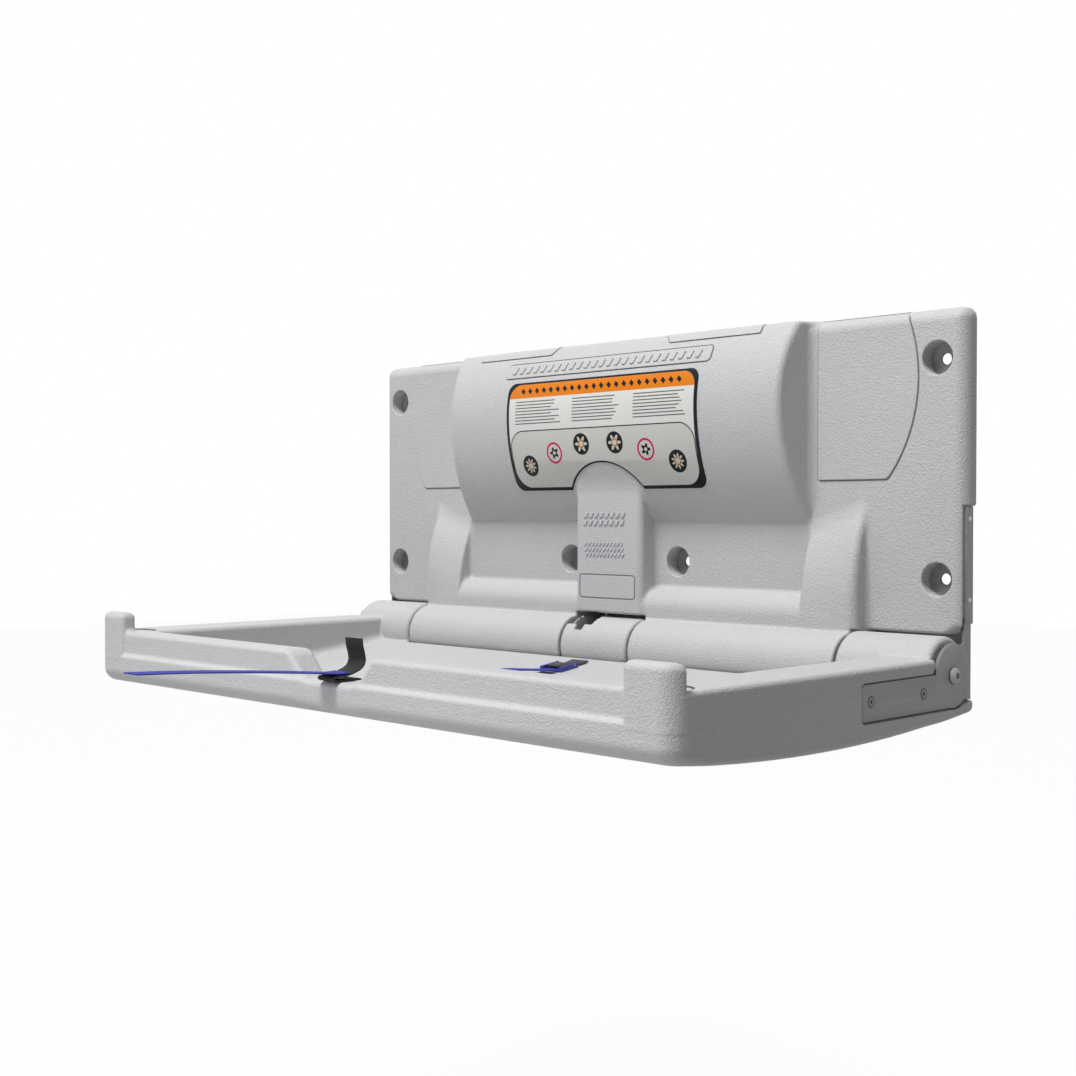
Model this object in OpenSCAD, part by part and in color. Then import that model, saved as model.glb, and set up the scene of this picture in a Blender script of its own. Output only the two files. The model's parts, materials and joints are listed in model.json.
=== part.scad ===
// Wall-mounted baby changing station that folds down to a horizontal bed.
// X runs along the width, Y points into the wall, Z is up. The wall is the plane y = 0,
// and the origin lies midway between the two lower outer fixing holes.

/* [Wall unit] */
// Width of the wall unit
unit_w = 876; // [840:2:920]
// Depth of the flat wings in front of the wall
wing_t = 20; // [18:0.5:21]
// Height of the top edge above the lower fixing holes
wing_top = 262; // [256:1:280]
// Drop of the wings' lower edge below the lower fixing holes
wing_low = 50.5; // [49:0.5:51]
// Rounding of the wings' front edges
edge_r = 14; // [6:1:16]
// Rounding of the wings' corners seen from the front
corner_r = 12; // [6:1:18]
// Step of the raised wing panels and other low relief
relief_t = 1.4; // [0.8:0.1:1.6]

/* [Roll and pillar] */
// Half length of the roll where it meets the wings
roll_half = 262; // [255:1:268]
// Width of each shoulder beside the roll
shoulder_w = 66; // [60:1:70]
// Shortening of each roll end at its crest
roll_draft = 10; // [4:1:16]
// Depth of the roll's crest in front of the wall
roll_depth = 66.5; // [58:0.5:67]
// Height of the crest above the lower fixing holes
roll_z = 180; // [172:1:184]
// Radius of the roll above its crest
roll_up_r = 134; // [128:1:140]
// Radius of the roll below its crest
roll_down_r = 197; // [190:1:204]
// Half width of the centre pillar
pillar_half = 51; // [46:0.5:52]
// Depth of the pillar's front face
pillar_depth = 48.5; // [44:0.5:48.5]
// Rounding of the pillar's upright edges
pillar_r = 8; // [3:1:12]
// Depth of the ledge and the shoulders in front of the wall
ledge_depth = 43; // [36:0.5:44]

/* [Hinge] */
// Distance of the hinge line from the wall
axis_y = 40; // [39.5:0.25:41]
// Depth of the hinge line below the lower fixing holes
axis_z = 89; // [88:0.25:90]
// Radius of the hinge rod
rod_r = 5; // [4:0.25:5]
// Radius of the barrels moulded on the wall unit
barrel_r = 34.5; // [33:0.25:35]
// Radius of the knuckles moulded on the tray's ends
knuckle_r = 36.5; // [35:0.25:37]
// Half width of the tray's centre knuckle
mid_knuckle_half = 50.5; // [46:0.5:51]
// Half distance between the inner ends of the outer knuckles
outer_knuckle_x = 326; // [300:1:336]
// Gap between neighbouring barrels and knuckles
knuckle_gap = 3; // [2:0.25:4]

/* [Tray] */
// Depth of the open tray in front of the wall
tray_front = 447.5; // [435:0.5:460]
// Drop of the rim's top below the lower fixing holes
rim_z = 71.5; // [71.5:0.25:74]
// Width of the side rims
side_rim_w = 60; // [50:1:64]
// Inner edge of the front rim in front of the wall
basin_front = 411; // [405:0.5:414]
// Drop of the deepest line of the bed
bed_low = 120.5; // [120:0.25:123]
// Radius of the bed's hollow, seen from the side
bed_r = 1275; // [1200:5:1400]
// Lowest drop of the tray's bowed underside
belly_low = 138.4; // [136:0.2:142]
// Radius of the underside's bow
belly_r = 1996; // [1700:4:2400]
// Rounding of the tray's upright front corners
tray_corner_r = 18; // [10:1:26]
// Rounding of the tray's lower edges
tray_edge_r = 14; // [8:1:18]
// Setback of the front face above its ledge
front_step = 4.5; // [3:0.5:7]
// Drop of the ledge along the front face
ledge_z = 98; // [94:0.5:101]
// Height of the corner posts above the lower fixing level, as a drop
post_z = 49.5; // [49.5:0.25:56]
// Width of the corner posts
post_w = 54; // [40:1:60]
// Thickness of the corner posts
post_t = 18.4; // [14:0.2:22]
// Half width of the finger notch at its floor
notch_half = 42; // [30:1:50]
// Half width of the finger notch at the rim
notch_top_half = 66; // [52:1:80]

/* [Steelwork] */
// Thickness of the hinge plates
arm_t = 3; // [2.5:0.25:3]
// Height of the hinge plates' arms
arm_h = 33; // [28:0.5:34]
// Reach of the hinge plates' arms in front of the wall
arm_front = 194; // [170:1:210]
// Radius of the hinge plates' round heads
arm_head_r = 30.5; // [26:0.5:31]
// Thickness of the side brackets
bracket_t = 2.5; // [2:0.25:2.5]
// Top of the side brackets above the lower fixing holes
bracket_top = 71; // [50:1:90]
// Thickness of the backing plate
back_t = 1.5; // [1.2:0.1:1.6]

/* [Fixings] */
// Distance of the outer fixing holes from the unit's sides
fix_inset = 31.6; // [31:0.2:36]
// Height between the lower and the upper outer fixing holes
fix_h = 213.9; // [205:0.1:222]
// Distance between the two centre fixing holes
fix_mid_w = 166; // [150:1:180]
// Height of the centre fixing holes above the lower ones
fix_mid_z = 10.3; // [6:0.1:16]
// Radius of the fixing holes
fix_r = 5.5; // [4:0.25:6.5]
// Radius of the counterbores around the fixing holes
bore_r = 16.4; // [14:0.2:17]
// Thickness left under each counterbore
bore_floor = 3; // [2.5:0.25:5]

/* [Strap] */
// Width of the blue safety strap
strap_w = 25; // [20:1:36]
// Thickness of the blue safety strap
strap_t = 1.2; // [1:0.1:1.8]
// Width of the black webbing in the notch
web_w = 27; // [20:1:32]
// Thickness of the black webbing
web_t = 1.8; // [1.4:0.1:2.2]

/* [Lift strut] */
// Crank radius of the strut's lower pin
crank_r = 32; // [30:0.25:32]
// Place of the strut across the unit
strut_x = -28; // [-29:0.5:-26]
// Outer radius of the strut's cylinder
strut_r = 8; // [6:0.25:8]
// Radius of the strut's rod
strut_rod_r = 3; // [2.5:0.25:3]
// Height of the strut's upper pin
strut_top = 92; // [86:1:94]

/* [Hidden] */
$fn = 96;
large_fn = 240;
huge_fn = 1440;
hex_fn = 6;
over = 1;
seat = 0.3;
run = 0.05;
steel = "#8d8d8f";
shell_grey = "#bcbdbf";
half_w = unit_w / 2;
y_front = -wing_t;
ax = -axis_y;
az = -axis_z;
big = unit_w + 2 * over;
tall = wing_top + tray_front;
fix_w = unit_w - 2 * fix_inset;

// Roll outline values
roll_base_z = 54.5;
bay_y = wing_t + relief_t;
pillar_side = sqrt(pow(roll_down_r, 2) - pow(roll_down_r - roll_depth + pillar_depth, 2));
pillar_top = roll_z - pillar_side + pillar_r / 2;
label_t = 0.8;
glue_t = 0.1;
label_inset = 115;
label_half = roll_half - label_inset;
label_top = 220;
label_low = 91.5;
label_r = 12;
label_arch_r = 66;
label_arch_z = 56.5;
arch_gap = 2.5;
bar_over = 11;
bar_half = label_half + bar_over;
bar_low = 226.5;
bar_top = 243.5;
bar_r = 5;
tab_in = 83;
tab_inset = 47;
tab_out = roll_half - tab_inset;
tab_slope = 9;
tab_low = 252;

// Raised wing panel: an arc bounds its outer edge
plate_screw_x = [-330, -120, 120, 330];
plate_screw_z = [-30, 232];
panel_gap = 8;
panel_in = roll_half + panel_gap;
panel_low = 98;
panel_arc_in = 36;
panel_arc_x = roll_half - panel_arc_in;
panel_arc_z = 196.6;
panel_arc_r = 160;

// Shoulders and ledge
shoulder_out = roll_half + shoulder_w;
shoulder_top = 75;
shoulder_base_z = -20;
ledge_r = 23;
ledge_axis_z = -43;
pocket_wall = 4;

// Side stack, from the inside out
arm_sink = 1.6;
arm_out = half_w - arm_sink;
arm_in = arm_out - arm_t;
stack_gap = 0.6;
ear_out = arm_in - stack_gap;
ear_in = ear_out - bracket_t;
flange_sink = 3;
flange_out = half_w - flange_sink;
flange_in = flange_out - bracket_t;
knuckle_end = ear_in - stack_gap;
ear_r = 20;
flange_d = 14;
joggle_z = -42;
joggle_h = 6;
web_z = -60;
ear_low = -108;
bracket_screw_y = -flange_d / 2;
bracket_screw_in = 12;
bracket_screw_pitch = 78;
bracket_screw_z = [bracket_top - bracket_screw_in, bracket_top - bracket_screw_in - bracket_screw_pitch];
rod_sink = 0.4;
rod_end = arm_out - rod_sink;
washer_r = 7;
washer_t = 0.8;
head_r = 8;
head_h = 4.4;
head_top_share = 0.7;
hex_r = 2.6;
hex_d = 2.4;
tip_r = 3;
tip_l = 14;

// Tray outline
heel_gap = seat;
heel_y = -(back_t + heel_gap);
heel_top = 118;
bed_mid_y = -300;
belly_y = -233;
function belly_z(y) = belly_r - belly_low - sqrt(pow(belly_r, 2) - pow(y - belly_y, 2));
fillet_y = tray_edge_r - tray_front;
fillet_z = belly_z(fillet_y) + tray_edge_r - seat;
basin_r = 20;
rim_x = half_w - side_rim_w;
sweep_r = barrel_r + knuckle_gap;
disc_in = 35.4;
disc_x = half_w - disc_in;
disc_y = 428;
disc_r = 30;
scallop_d = 6;
scallop_half = 40;
scallop_r = (scallop_half * scallop_half + scallop_d * scallop_d) / (2 * scallop_d);
arm_gap = 0.6;
arm_top = -86;
arm_corner = 3;
arm_screw_y = [-92, -178.5];
arm_screw_z = -101.8;
arm_screw_r = 5;
insert_r = 4;
insert_l = 12;
thread_r = 2.4;

// Hinge bushes
bush_t = 2.4;
bush_l = 9;

// Lift strut: the pin slides in a straight line, and the crank's slot takes up the arc
crank_angle = 45;
crank_y = crank_r * cos(crank_angle);
pin_z = az + crank_y;
strut_y = ax + crank_y;
pin_r = 2.5;
slot_play = 2.3;
crank_t = 4;
crank_off = 6;
crank_in = strut_x - crank_off;
crank_out = crank_in - crank_t;
crank_hub_r = 11;
crank_arm_share = 0.72;
crank_foot_share = 0.5;
crank_screw_share = 0.36;
crank_screw_rise_share = 0.62;
crank_screw_h = 1.6;
crank_screw_r = 2.4;
rod_slot_share = 0.55;
eye_r = 5.5;
eye_t = 5;
cyl_low = -38;
cyl_neck = 12;
cyl_high = strut_top - cyl_neck;
cyl_wall = 1.5;
cyl_bore_r = strut_r - cyl_wall;
gland_h = 6;
piston_z = 36;
piston_h = 6;
cell_reach = 14;
cell_in = strut_x + cell_reach;
cell_out = crank_out;
clip_w = 3;

// Strap and buckle places along the bed, as seen from the side
function bed_z(y) = bed_r - bed_low - sqrt(pow(bed_r, 2) - pow(y - bed_mid_y, 2));
function on_bed(p) = [p[0], bed_z(p[0]) + p[1] + seat + strap_t / 2];
// The bed strap arches a little off the bed in front of the buckle, as slack webbing does, then climbs the
// front wall. Its run is given as place and rise off the bed, its climb from the rim's inner edge, the tail
// and the webbing from the front of the notch's floor.
strap_run = [[-142, 1.6], [-158, 4.6], [-175, 7.9], [-192, 10.9], [-210, 12.6], [-226, 12.4], [-240, 10.2],
    [-252, 7.2], [-264, 4.2], [-278, 1.7], [-294, 0.3], [-318, 0], [-346, 0], [-374, 0]];
strap_climb = [[25, -43.3], [16, -39.1], [10, -32.1]];
bed_strap_pts = concat([for (p = strap_run) on_bed(p)], [for (p = strap_climb) p - [basin_front, rim_z]]);
tail_run = [[24.5, 12.5], [13.5, 11.7], [-0.5, 11.9], [-42.5, 14.2], [-93.5, 17.6], [-152.5, 21],
    [-204.5, 23.4]];
tail_pts = [for (p = tail_run) p - [tray_front, ledge_z]];
web_run = [[35.5, 1.4], [7.5, 1.4], [3.5, 2.6], [2.1, 5.4], [3.5, 8.2], [7.5, 9.2], [23.5, 10.1],
    [33.5, 12.4], [38.9, 18], [39.9, 28], [37, 40.5]];
web_pts = [for (p = web_run) p - [tray_front, ledge_z]];
anchor_r = 5;
anchor_t = 1.2;
anchor_in = 17.5;
anchor_y = anchor_in - tray_front;
buckle_y = -126;
buckle_half = 16;
buckle_len = 28;
buckle_h = 5;
buckle_base = 1.6;
buckle_wall = 2.4;
buckle_lift = 0.4;
buckle_pin_v = 9;
buckle_pin_h = 3.9;
buckle_pin_r = 1.2;
lever_t = 2.4;
lever_l = 16;
tab_t = 1.4;
tab_l = 21;
tab_tilt = 4;

// Prisms along the three axes: x_prism takes (y, z) points, y_prism takes (x, z), z_prism takes (x, y)
module x_prism(x0, x1) {
    translate([x0, 0, 0]) rotate([90, 0, 90]) linear_extrude(x1 - x0) children();
}
module y_prism(y0, y1) {
    translate([0, y1, 0]) rotate([90, 0, 0]) linear_extrude(y1 - y0) children();
}
module z_prism(z0, z1) {
    translate([0, 0, z0]) linear_extrude(z1 - z0) children();
}
module box(lo, hi) {
    translate(lo) cube(hi - lo);
}
module x_rod(x0, x1, y, z, r) {
    translate([x0, y, z]) rotate([0, 90, 0]) cylinder(h = x1 - x0, r = r);
}
module y_rod(y0, y1, x, z, r) {
    translate([x, y1, z]) rotate([90, 0, 0]) cylinder(h = y1 - y0, r = r);
}
// Rectangle with rounded corners, from its two corner points
module round_rect(lo, hi, r) {
    union() {
        translate([lo[0] + r, lo[1]]) square([hi[0] - lo[0] - 2 * r, hi[1] - lo[1]]);
        translate([lo[0], lo[1] + r]) square([hi[0] - lo[0], hi[1] - lo[1] - 2 * r]);
        for (x = [lo[0] + r, hi[0] - r], y = [lo[1] + r, hi[1] - r]) translate([x, y]) circle(r);
    }
}
module both_sides() {
    children();
    mirror([1, 0, 0]) children();
}

// Wall unit moulding
module wing_plate() {
    intersection() {
        y_prism(y_front, 0) round_rect([-half_w, -wing_low], [half_w, wing_top], corner_r);
        x_prism(-big / 2, big / 2)
            round_rect([y_front, -wing_low - 2 * edge_r], [edge_r + over, wing_top], edge_r);
        z_prism(-wing_low - over, wing_top + over)
            round_rect([-half_w, y_front], [half_w, edge_r + over], edge_r);
    }
}
// Side view of the roll; extra stands its face out for pads and the label
module roll_side(extra) {
    intersection() {
        translate([roll_up_r - roll_depth, roll_z]) circle(roll_up_r + extra, $fn = large_fn);
        translate([-roll_depth - over, roll_z]) square([roll_depth + over, wing_top - roll_z]);
    }
    intersection() {
        translate([roll_down_r - roll_depth, roll_z]) circle(roll_down_r + extra, $fn = large_fn);
        translate([-roll_depth - over, roll_base_z]) square([roll_depth + over, roll_z - roll_base_z]);
    }
}
module roll_solid() {
    intersection() {
        x_prism(-roll_half - over, roll_half + over) roll_side(0);
        z_prism(roll_base_z - over, wing_top + over) polygon([[-roll_half, 0], [-roll_half, -bay_y],
            [roll_draft - roll_half, -roll_depth - over], [roll_half - roll_draft, -roll_depth - over],
            [roll_half, -bay_y], [roll_half, 0]]);
    }
}
// Low relief that follows the roll's face, from one height above it to another, inside a front outline
module roll_relief(low, high) {
    intersection() {
        difference() {
            x_prism(-roll_half, roll_half) roll_side(high);
            x_prism(-roll_half - over, roll_half + over) roll_side(low);
        }
        y_prism(-roll_depth - relief_t - over, -wing_t) children();
    }
}
module tab_outline() {
    polygon([[tab_in + tab_slope, tab_low], [tab_out, tab_low], [tab_out, wing_top], [tab_in, wing_top]]);
}
module wing_panel() {
    intersection() {
        translate([0, -relief_t, 0]) wing_plate();
        y_prism(y_front - relief_t, 0) intersection() {
            translate([panel_in, panel_low]) square([half_w - panel_in, wing_top - edge_r / 2 - panel_low]);
            translate([panel_arc_x, panel_arc_z]) circle(panel_arc_r);
        }
    }
}
module shoulder() {
    shoulder_r = (pow(shoulder_top - shoulder_base_z, 2) + pow(ledge_depth - wing_t, 2))
        / (2 * (ledge_depth - wing_t));
    x_prism(roll_half, shoulder_out) union() {
        intersection() {
            translate([shoulder_r - ledge_depth, shoulder_base_z]) circle(shoulder_r, $fn = large_fn);
            translate([-ledge_depth, shoulder_base_z]) square([ledge_depth, shoulder_top - shoulder_base_z]);
        }
        translate([-ledge_depth, -wing_low]) square([ledge_depth, wing_low + shoulder_base_z]);
    }
}
module ledge() {
    x_rod(-shoulder_out, shoulder_out, ledge_r - ledge_depth, ledge_axis_z, ledge_r);
    box([-shoulder_out, -ledge_depth, -wing_low - barrel_r / 4], [shoulder_out, 0, ledge_axis_z]);
    box([-roll_half, -bay_y, ledge_axis_z], [roll_half, 0, roll_base_z + over]);
}
module barrel() {
    x0 = mid_knuckle_half + knuckle_gap;
    x1 = outer_knuckle_x - knuckle_gap;
    x_rod(x0, x1, ax, az, barrel_r);
    box([x0, ax, az - barrel_r], [x1, 0, -wing_low]);
}
module pillar() {
    intersection() {
        z_prism(-wing_low, pillar_top)
            round_rect([-pillar_half, -pillar_depth], [pillar_half, pillar_r], pillar_r);
        y_prism(-roll_depth, 0) union() {
            translate([0, label_arch_z]) circle(label_arch_r - arch_gap);
            translate([-pillar_half, -wing_low]) square([2 * pillar_half, wing_low + label_arch_z]);
        }
    }
}
module counterbore(x, z, depth) {
    y_rod(-depth - over, -bore_floor, x, z, bore_r);
    y_rod(-bore_floor - over, over, x, z, fix_r);
}
module fix_holes() {
    for (x = [-fix_w / 2, fix_w / 2], z = [0, fix_h]) counterbore(x, z, wing_t);
    for (x = [-fix_mid_w / 2, fix_mid_w / 2]) counterbore(x, fix_mid_z, bay_y);
}
module wall_shell() {
    color(shell_grey) difference() {
        union() {
            wing_plate();
            roll_solid();
            roll_relief(-seat, relief_t) round_rect([-bar_half, bar_low], [bar_half, bar_top], bar_r);
            both_sides() {
                roll_relief(-seat, relief_t) tab_outline();
                wing_panel();
                shoulder();
                barrel();
            }
            ledge();
            pillar();
        }
        // Nothing stands behind the wall plane
        box([-big, 0, -tall], [big, tall, tall]);
        // Rounding and soffit above the centre knuckle
        x_rod(-mid_knuckle_half - knuckle_gap, mid_knuckle_half + knuckle_gap, ax, az, knuckle_r + over / 2);
        box([-mid_knuckle_half - knuckle_gap, -pillar_depth - over, az],
            [mid_knuckle_half + knuckle_gap, over, -wing_low]);
        // Room for the ends of the tray and for the side brackets
        both_sides() {
            x_rod(outer_knuckle_x - knuckle_gap, half_w + over, ax, az, knuckle_r + over);
            box([flange_in, y_front - over, -wing_low - over], [half_w + over, over, bracket_top + seat]);
            box([shoulder_out, -ledge_depth, -wing_low - barrel_r], [half_w, over, -wing_low]);
            box([ear_in - stack_gap, -flange_d - over, -wing_low - over],
                [half_w, over, joggle_z + joggle_h + seat]);
        }
        fix_holes();
        plate_screw_rods(run);
        // Seat of the backing plate, cell of the lift strut and hinge rod bore
        box([-flange_in + over, -back_t, az - barrel_r - over], [flange_in - over, over, wing_top - edge_r]);
        box([cell_out, -pillar_depth + pocket_wall, -wing_low - over],
            [cell_in, over, strut_top + eye_r + over]);
        x_rod(-half_w, half_w, ax, az, rod_r + run);
    }
}

// Backing plate behind the moulding and the tray's heel stop
back_half = flange_in - 2 * over;
module back_outline() {
    difference() {
        translate([-back_half, az - ear_r])
            square([2 * back_half, axis_z + ear_r + wing_top - edge_r - over]);
        for (x = [-fix_w / 2, fix_w / 2], z = [0, fix_h]) translate([x, z]) circle(fix_r);
        for (x = [-fix_mid_w / 2, fix_mid_w / 2]) translate([x, fix_mid_z]) circle(fix_r);
    }
    translate([-knuckle_end + over, az - axis_y]) square([2 * (knuckle_end - over), axis_y - ear_r]);
}
module back_plate() {
    color(steel) difference() {
        y_prism(-back_t, 0) back_outline();
        plate_screw_rods(run);
    }
}
module plate_screw_rods(gap) {
    for (x = plate_screw_x, z = plate_screw_z) y_rod(-back_t - insert_l - gap, 0, x, z, thread_r + gap);
}
module plate_screws() {
    color(steel) plate_screw_rods(0);
}

// Side bracket: a flange on the moulding's side that steps in to an ear around the hinge rod
module bracket() {
    difference() {
        union() {
            box([flange_in, -flange_d, joggle_z], [flange_out, -back_t, bracket_top]);
            box([ear_in, -flange_d, joggle_z], [flange_out, -back_t, joggle_z + joggle_h]);
            x_prism(ear_in, ear_out) union() {
                polygon([[ax, az + ear_r], [-flange_d, web_z], [-flange_d, joggle_z + joggle_h],
                    [-back_t, joggle_z + joggle_h], [-back_t, ear_low], [ax, az - ear_r]]);
                translate([ax, az]) circle(ear_r);
            }
        }
        x_rod(ear_in - over, ear_out + over, ax, az, rod_r + run);
        for (z = bracket_screw_z) x_rod(flange_in - over, flange_out + over, bracket_screw_y, z, thread_r);
    }
}
module bracket_left() {
    color(steel) mirror([1, 0, 0]) bracket();
}
module bracket_right() {
    color(steel) bracket();
}
module bracket_screws() {
    color(steel) both_sides() for (z = bracket_screw_z)
        x_rod(flange_in, flange_out, bracket_screw_y, z, thread_r - run);
}

// Hinge rod with a tapped hole in each end, and the screws that close it
module hinge_rod() {
    color("silver") difference() {
        x_rod(-rod_end, rod_end, ax, az, rod_r);
        both_sides() x_rod(rod_end - tip_l - over, rod_end + over, ax, az, tip_r + run);
    }
}
module pivot_screws() {
    color(steel) both_sides() difference() {
        union() {
            x_rod(rod_end - tip_l, arm_out + washer_t + seat, ax, az, tip_r);
            x_rod(arm_out + washer_t + seat, arm_out + washer_t + seat + head_h / 2, ax, az, head_r);
            translate([arm_out + washer_t + seat + head_h / 2, ax, az]) rotate([0, 90, 0])
                cylinder(h = head_h / 2, r1 = head_r, r2 = head_r * head_top_share);
        }
        x_rod(arm_out + washer_t + head_h - hex_d, arm_out + washer_t + head_h + over, ax, az, hex_r,
            $fn = hex_fn);
    }
}
module pivot_washers() {
    color("silver") both_sides() difference() {
        x_rod(arm_out + seat / 2, arm_out + seat / 2 + washer_t, ax, az, washer_r);
        x_rod(arm_out, arm_out + washer_t + over, ax, az, tip_r + run);
    }
}

// Blank information label, curved with the roll and cut out over the pillar
module label_outline() {
    difference() {
        round_rect([-label_half, label_low], [label_half, label_top], label_r);
        translate([0, label_arch_z]) circle(label_arch_r);
    }
}
module label_plate() {
    color("white") roll_relief(glue_t, glue_t + label_t) label_outline();
}

// Lift strut behind the pillar
module strut_bracket() {
    clip_out = eye_t / 2 + seat + clip_w;
    color(steel) difference() {
        box([strut_x - clip_out, strut_y - eye_r, strut_top - eye_r],
            [strut_x + clip_out, -back_t, strut_top + eye_r]);
        box([strut_x - clip_out + clip_w, -pillar_depth, strut_top - tall],
            [strut_x + clip_out - clip_w, 0, tall]);
        x_rod(cell_out, cell_in, strut_y, strut_top, pin_r + run);
    }
}
module strut_top_pin() {
    pin_out = eye_t / 2 + clip_w + over;
    color("silver") x_rod(strut_x - pin_out, strut_x + pin_out, strut_y, strut_top, pin_r);
}
module strut_cylinder() {
    color("#2f3032") difference() {
        union() {
            translate([strut_x, strut_y, cyl_low]) cylinder(h = cyl_high - cyl_low, r = strut_r);
            box([strut_x - eye_t / 2, strut_y - eye_r, cyl_high - over],
                [strut_x + eye_t / 2, strut_y + eye_r, strut_top]);
            x_rod(strut_x - eye_t / 2, strut_x + eye_t / 2, strut_y, strut_top, eye_r);
        }
        translate([strut_x, strut_y, cyl_low - over])
            cylinder(h = cyl_high - cyl_low - clip_w, r = cyl_bore_r);
        x_rod(cell_out, cell_in, strut_y, strut_top, pin_r + run);
    }
}
module strut_gland() {
    color("silver") difference() {
        translate([strut_x, strut_y, cyl_low]) cylinder(h = gland_h, r = cyl_bore_r);
        translate([strut_x, strut_y, cyl_low - over])
            cylinder(h = gland_h + 2 * over, r = strut_rod_r + run);
    }
}
module strut_rod() {
    color("silver") {
        translate([strut_x, strut_y, pin_z + eye_r]) cylinder(h = piston_z - pin_z - eye_r, r = strut_rod_r);
        translate([strut_x, strut_y, piston_z - piston_h]) cylinder(h = piston_h, r = cyl_bore_r - run);
    }
}
module strut_eye() {
    color(steel) difference() {
        x_rod(strut_x - eye_t / 2, strut_x + eye_t / 2, strut_y, pin_z, eye_r);
        x_rod(cell_out, cell_in, strut_y, pin_z, pin_r);
    }
}
module strut_pin() {
    color("silver") x_rod(crank_out + seat, strut_x + eye_t / 2 + clip_w, strut_y, pin_z, pin_r);
}

// Tray moulding
module tray_side() {
    // Side view of the whole tray before its basin is sunk
    difference() {
        intersection() {
            translate([belly_y, belly_r - belly_low]) circle(belly_r, $fn = huge_fn);
            union() {
                translate([fillet_y, fillet_z]) circle(tray_edge_r);
                translate([-tray_front, fillet_z]) square([tray_edge_r, -rim_z - fillet_z]);
                polygon([[fillet_y, -2 * belly_low], [heel_y, -2 * belly_low], [heel_y, az], [ax, az],
                    [ax, -rim_z], [fillet_y, -rim_z]]);
            }
        }
        translate([-tray_front - over, -ledge_z]) square([front_step + over, ledge_z]);
    }
}
module tray_plan() {
    round_rect([-half_w, -tray_front], [half_w, tray_corner_r + over], tray_corner_r);
}
module basin() {
    // The bed is a shallow hollow that ends against the front rim
    intersection() {
        x_prism(-rim_x - over, rim_x + over) intersection() {
            translate([bed_mid_y, bed_r - bed_low]) circle(bed_r, $fn = huge_fn);
            translate([-basin_front - over, -bed_low - over]) square([basin_front, bed_low]);
        }
        z_prism(-belly_low, over) round_rect([-rim_x, -basin_front], [rim_x, ax], basin_r);
    }
}
module posts() {
    z_prism(-ledge_z, -post_z) intersection() {
        tray_plan();
        union() for (s = [-1, 1]) translate([s * (half_w - post_w / 2) - post_w / 2, -tray_front])
            square([post_w, post_t]);
    }
}
module hinge_arm_outline(grow) {
    translate([-arm_front - grow, arm_top - arm_h - grow])
        square([arm_front - axis_y + 2 * grow, arm_h + 2 * grow]);
    translate([ax, az]) circle(arm_head_r + grow);
}
module tray_shell() {
    color(shell_grey) difference() {
        union() {
            difference() {
                intersection() {
                    x_prism(-big / 2, big / 2) tray_side();
                    z_prism(-belly_low - over, over) tray_plan();
                    y_prism(-tray_front, 0)
                        round_rect([-half_w, -belly_low - over], [half_w, tray_edge_r + over], tray_edge_r);
                }
                basin();
                // Sweep of the wall unit's barrels
                x_rod(-outer_knuckle_x, outer_knuckle_x, ax, az, sweep_r);
                box([-outer_knuckle_x, ax, -belly_low - over], [outer_knuckle_x, over, over]);
            }
            x_rod(-mid_knuckle_half, mid_knuckle_half, ax, az, barrel_r);
            both_sides() x_rod(outer_knuckle_x, knuckle_end, ax, az, knuckle_r);
            box([-mid_knuckle_half, ax - sweep_r - over, -belly_low + tray_edge_r],
                [mid_knuckle_half, ax, az - barrel_r / 2]);
            posts();
        }
        // Finger notch through the front rim
        y_prism(-tray_front - over, -basin_front + over)
            polygon([[-notch_half, -ledge_z], [notch_half, -ledge_z],
                [notch_top_half, -rim_z + over], [-notch_top_half, -rim_z + over]]);
        // Shallow scallop below the notch
        z_prism(-belly_low + tray_edge_r, -ledge_z + over)
            translate([0, -tray_front - scallop_r + scallop_d]) circle(scallop_r, $fn = large_fn);
        // Round recesses in the rim behind the posts
        both_sides() difference() {
            translate([disc_x, -disc_y, -rim_z - relief_t]) cylinder(h = relief_t + over, r = disc_r);
            box([0, -tray_front, -belly_low], [half_w, post_t - tray_front, over]);
        }
        both_sides() {
            // Recess of the hinge plate, and room for the bracket's ear
            x_prism(arm_in, half_w + over) hinge_arm_outline(arm_gap);
            x_rod(knuckle_end, half_w + over, ax, az, knuckle_r + over);
            box([knuckle_end, ax, -heel_top], [half_w + over, over, over]);
            for (y = arm_screw_y) x_rod(arm_in - insert_l, arm_in + over, y, arm_screw_z, insert_r);
        }
        // Cell for the crank and the strut's lower end, open to the back
        box([cell_out, ax - barrel_r * crank_foot_share, -belly_low - over], [cell_in, over, over]);
        box([strut_x - eye_r, ax - barrel_r, az + barrel_r * rod_slot_share], [strut_x + eye_r, over, over]);
        both_sides() for (x = [mid_knuckle_half, knuckle_end])
            x_rod(x - bush_l, x + over, ax, az, rod_r + bush_t);
        x_rod(-half_w, half_w, ax, az, rod_r + over / 2);
    }
}
module hinge_bushes() {
    color("ivory") both_sides() for (x = [mid_knuckle_half - bush_l, knuckle_end - bush_l]) difference() {
        x_rod(x, x + bush_l, ax, az, rod_r + bush_t);
        x_rod(x - over, x + bush_l + over, ax, az, rod_r + run);
    }
}

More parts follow.
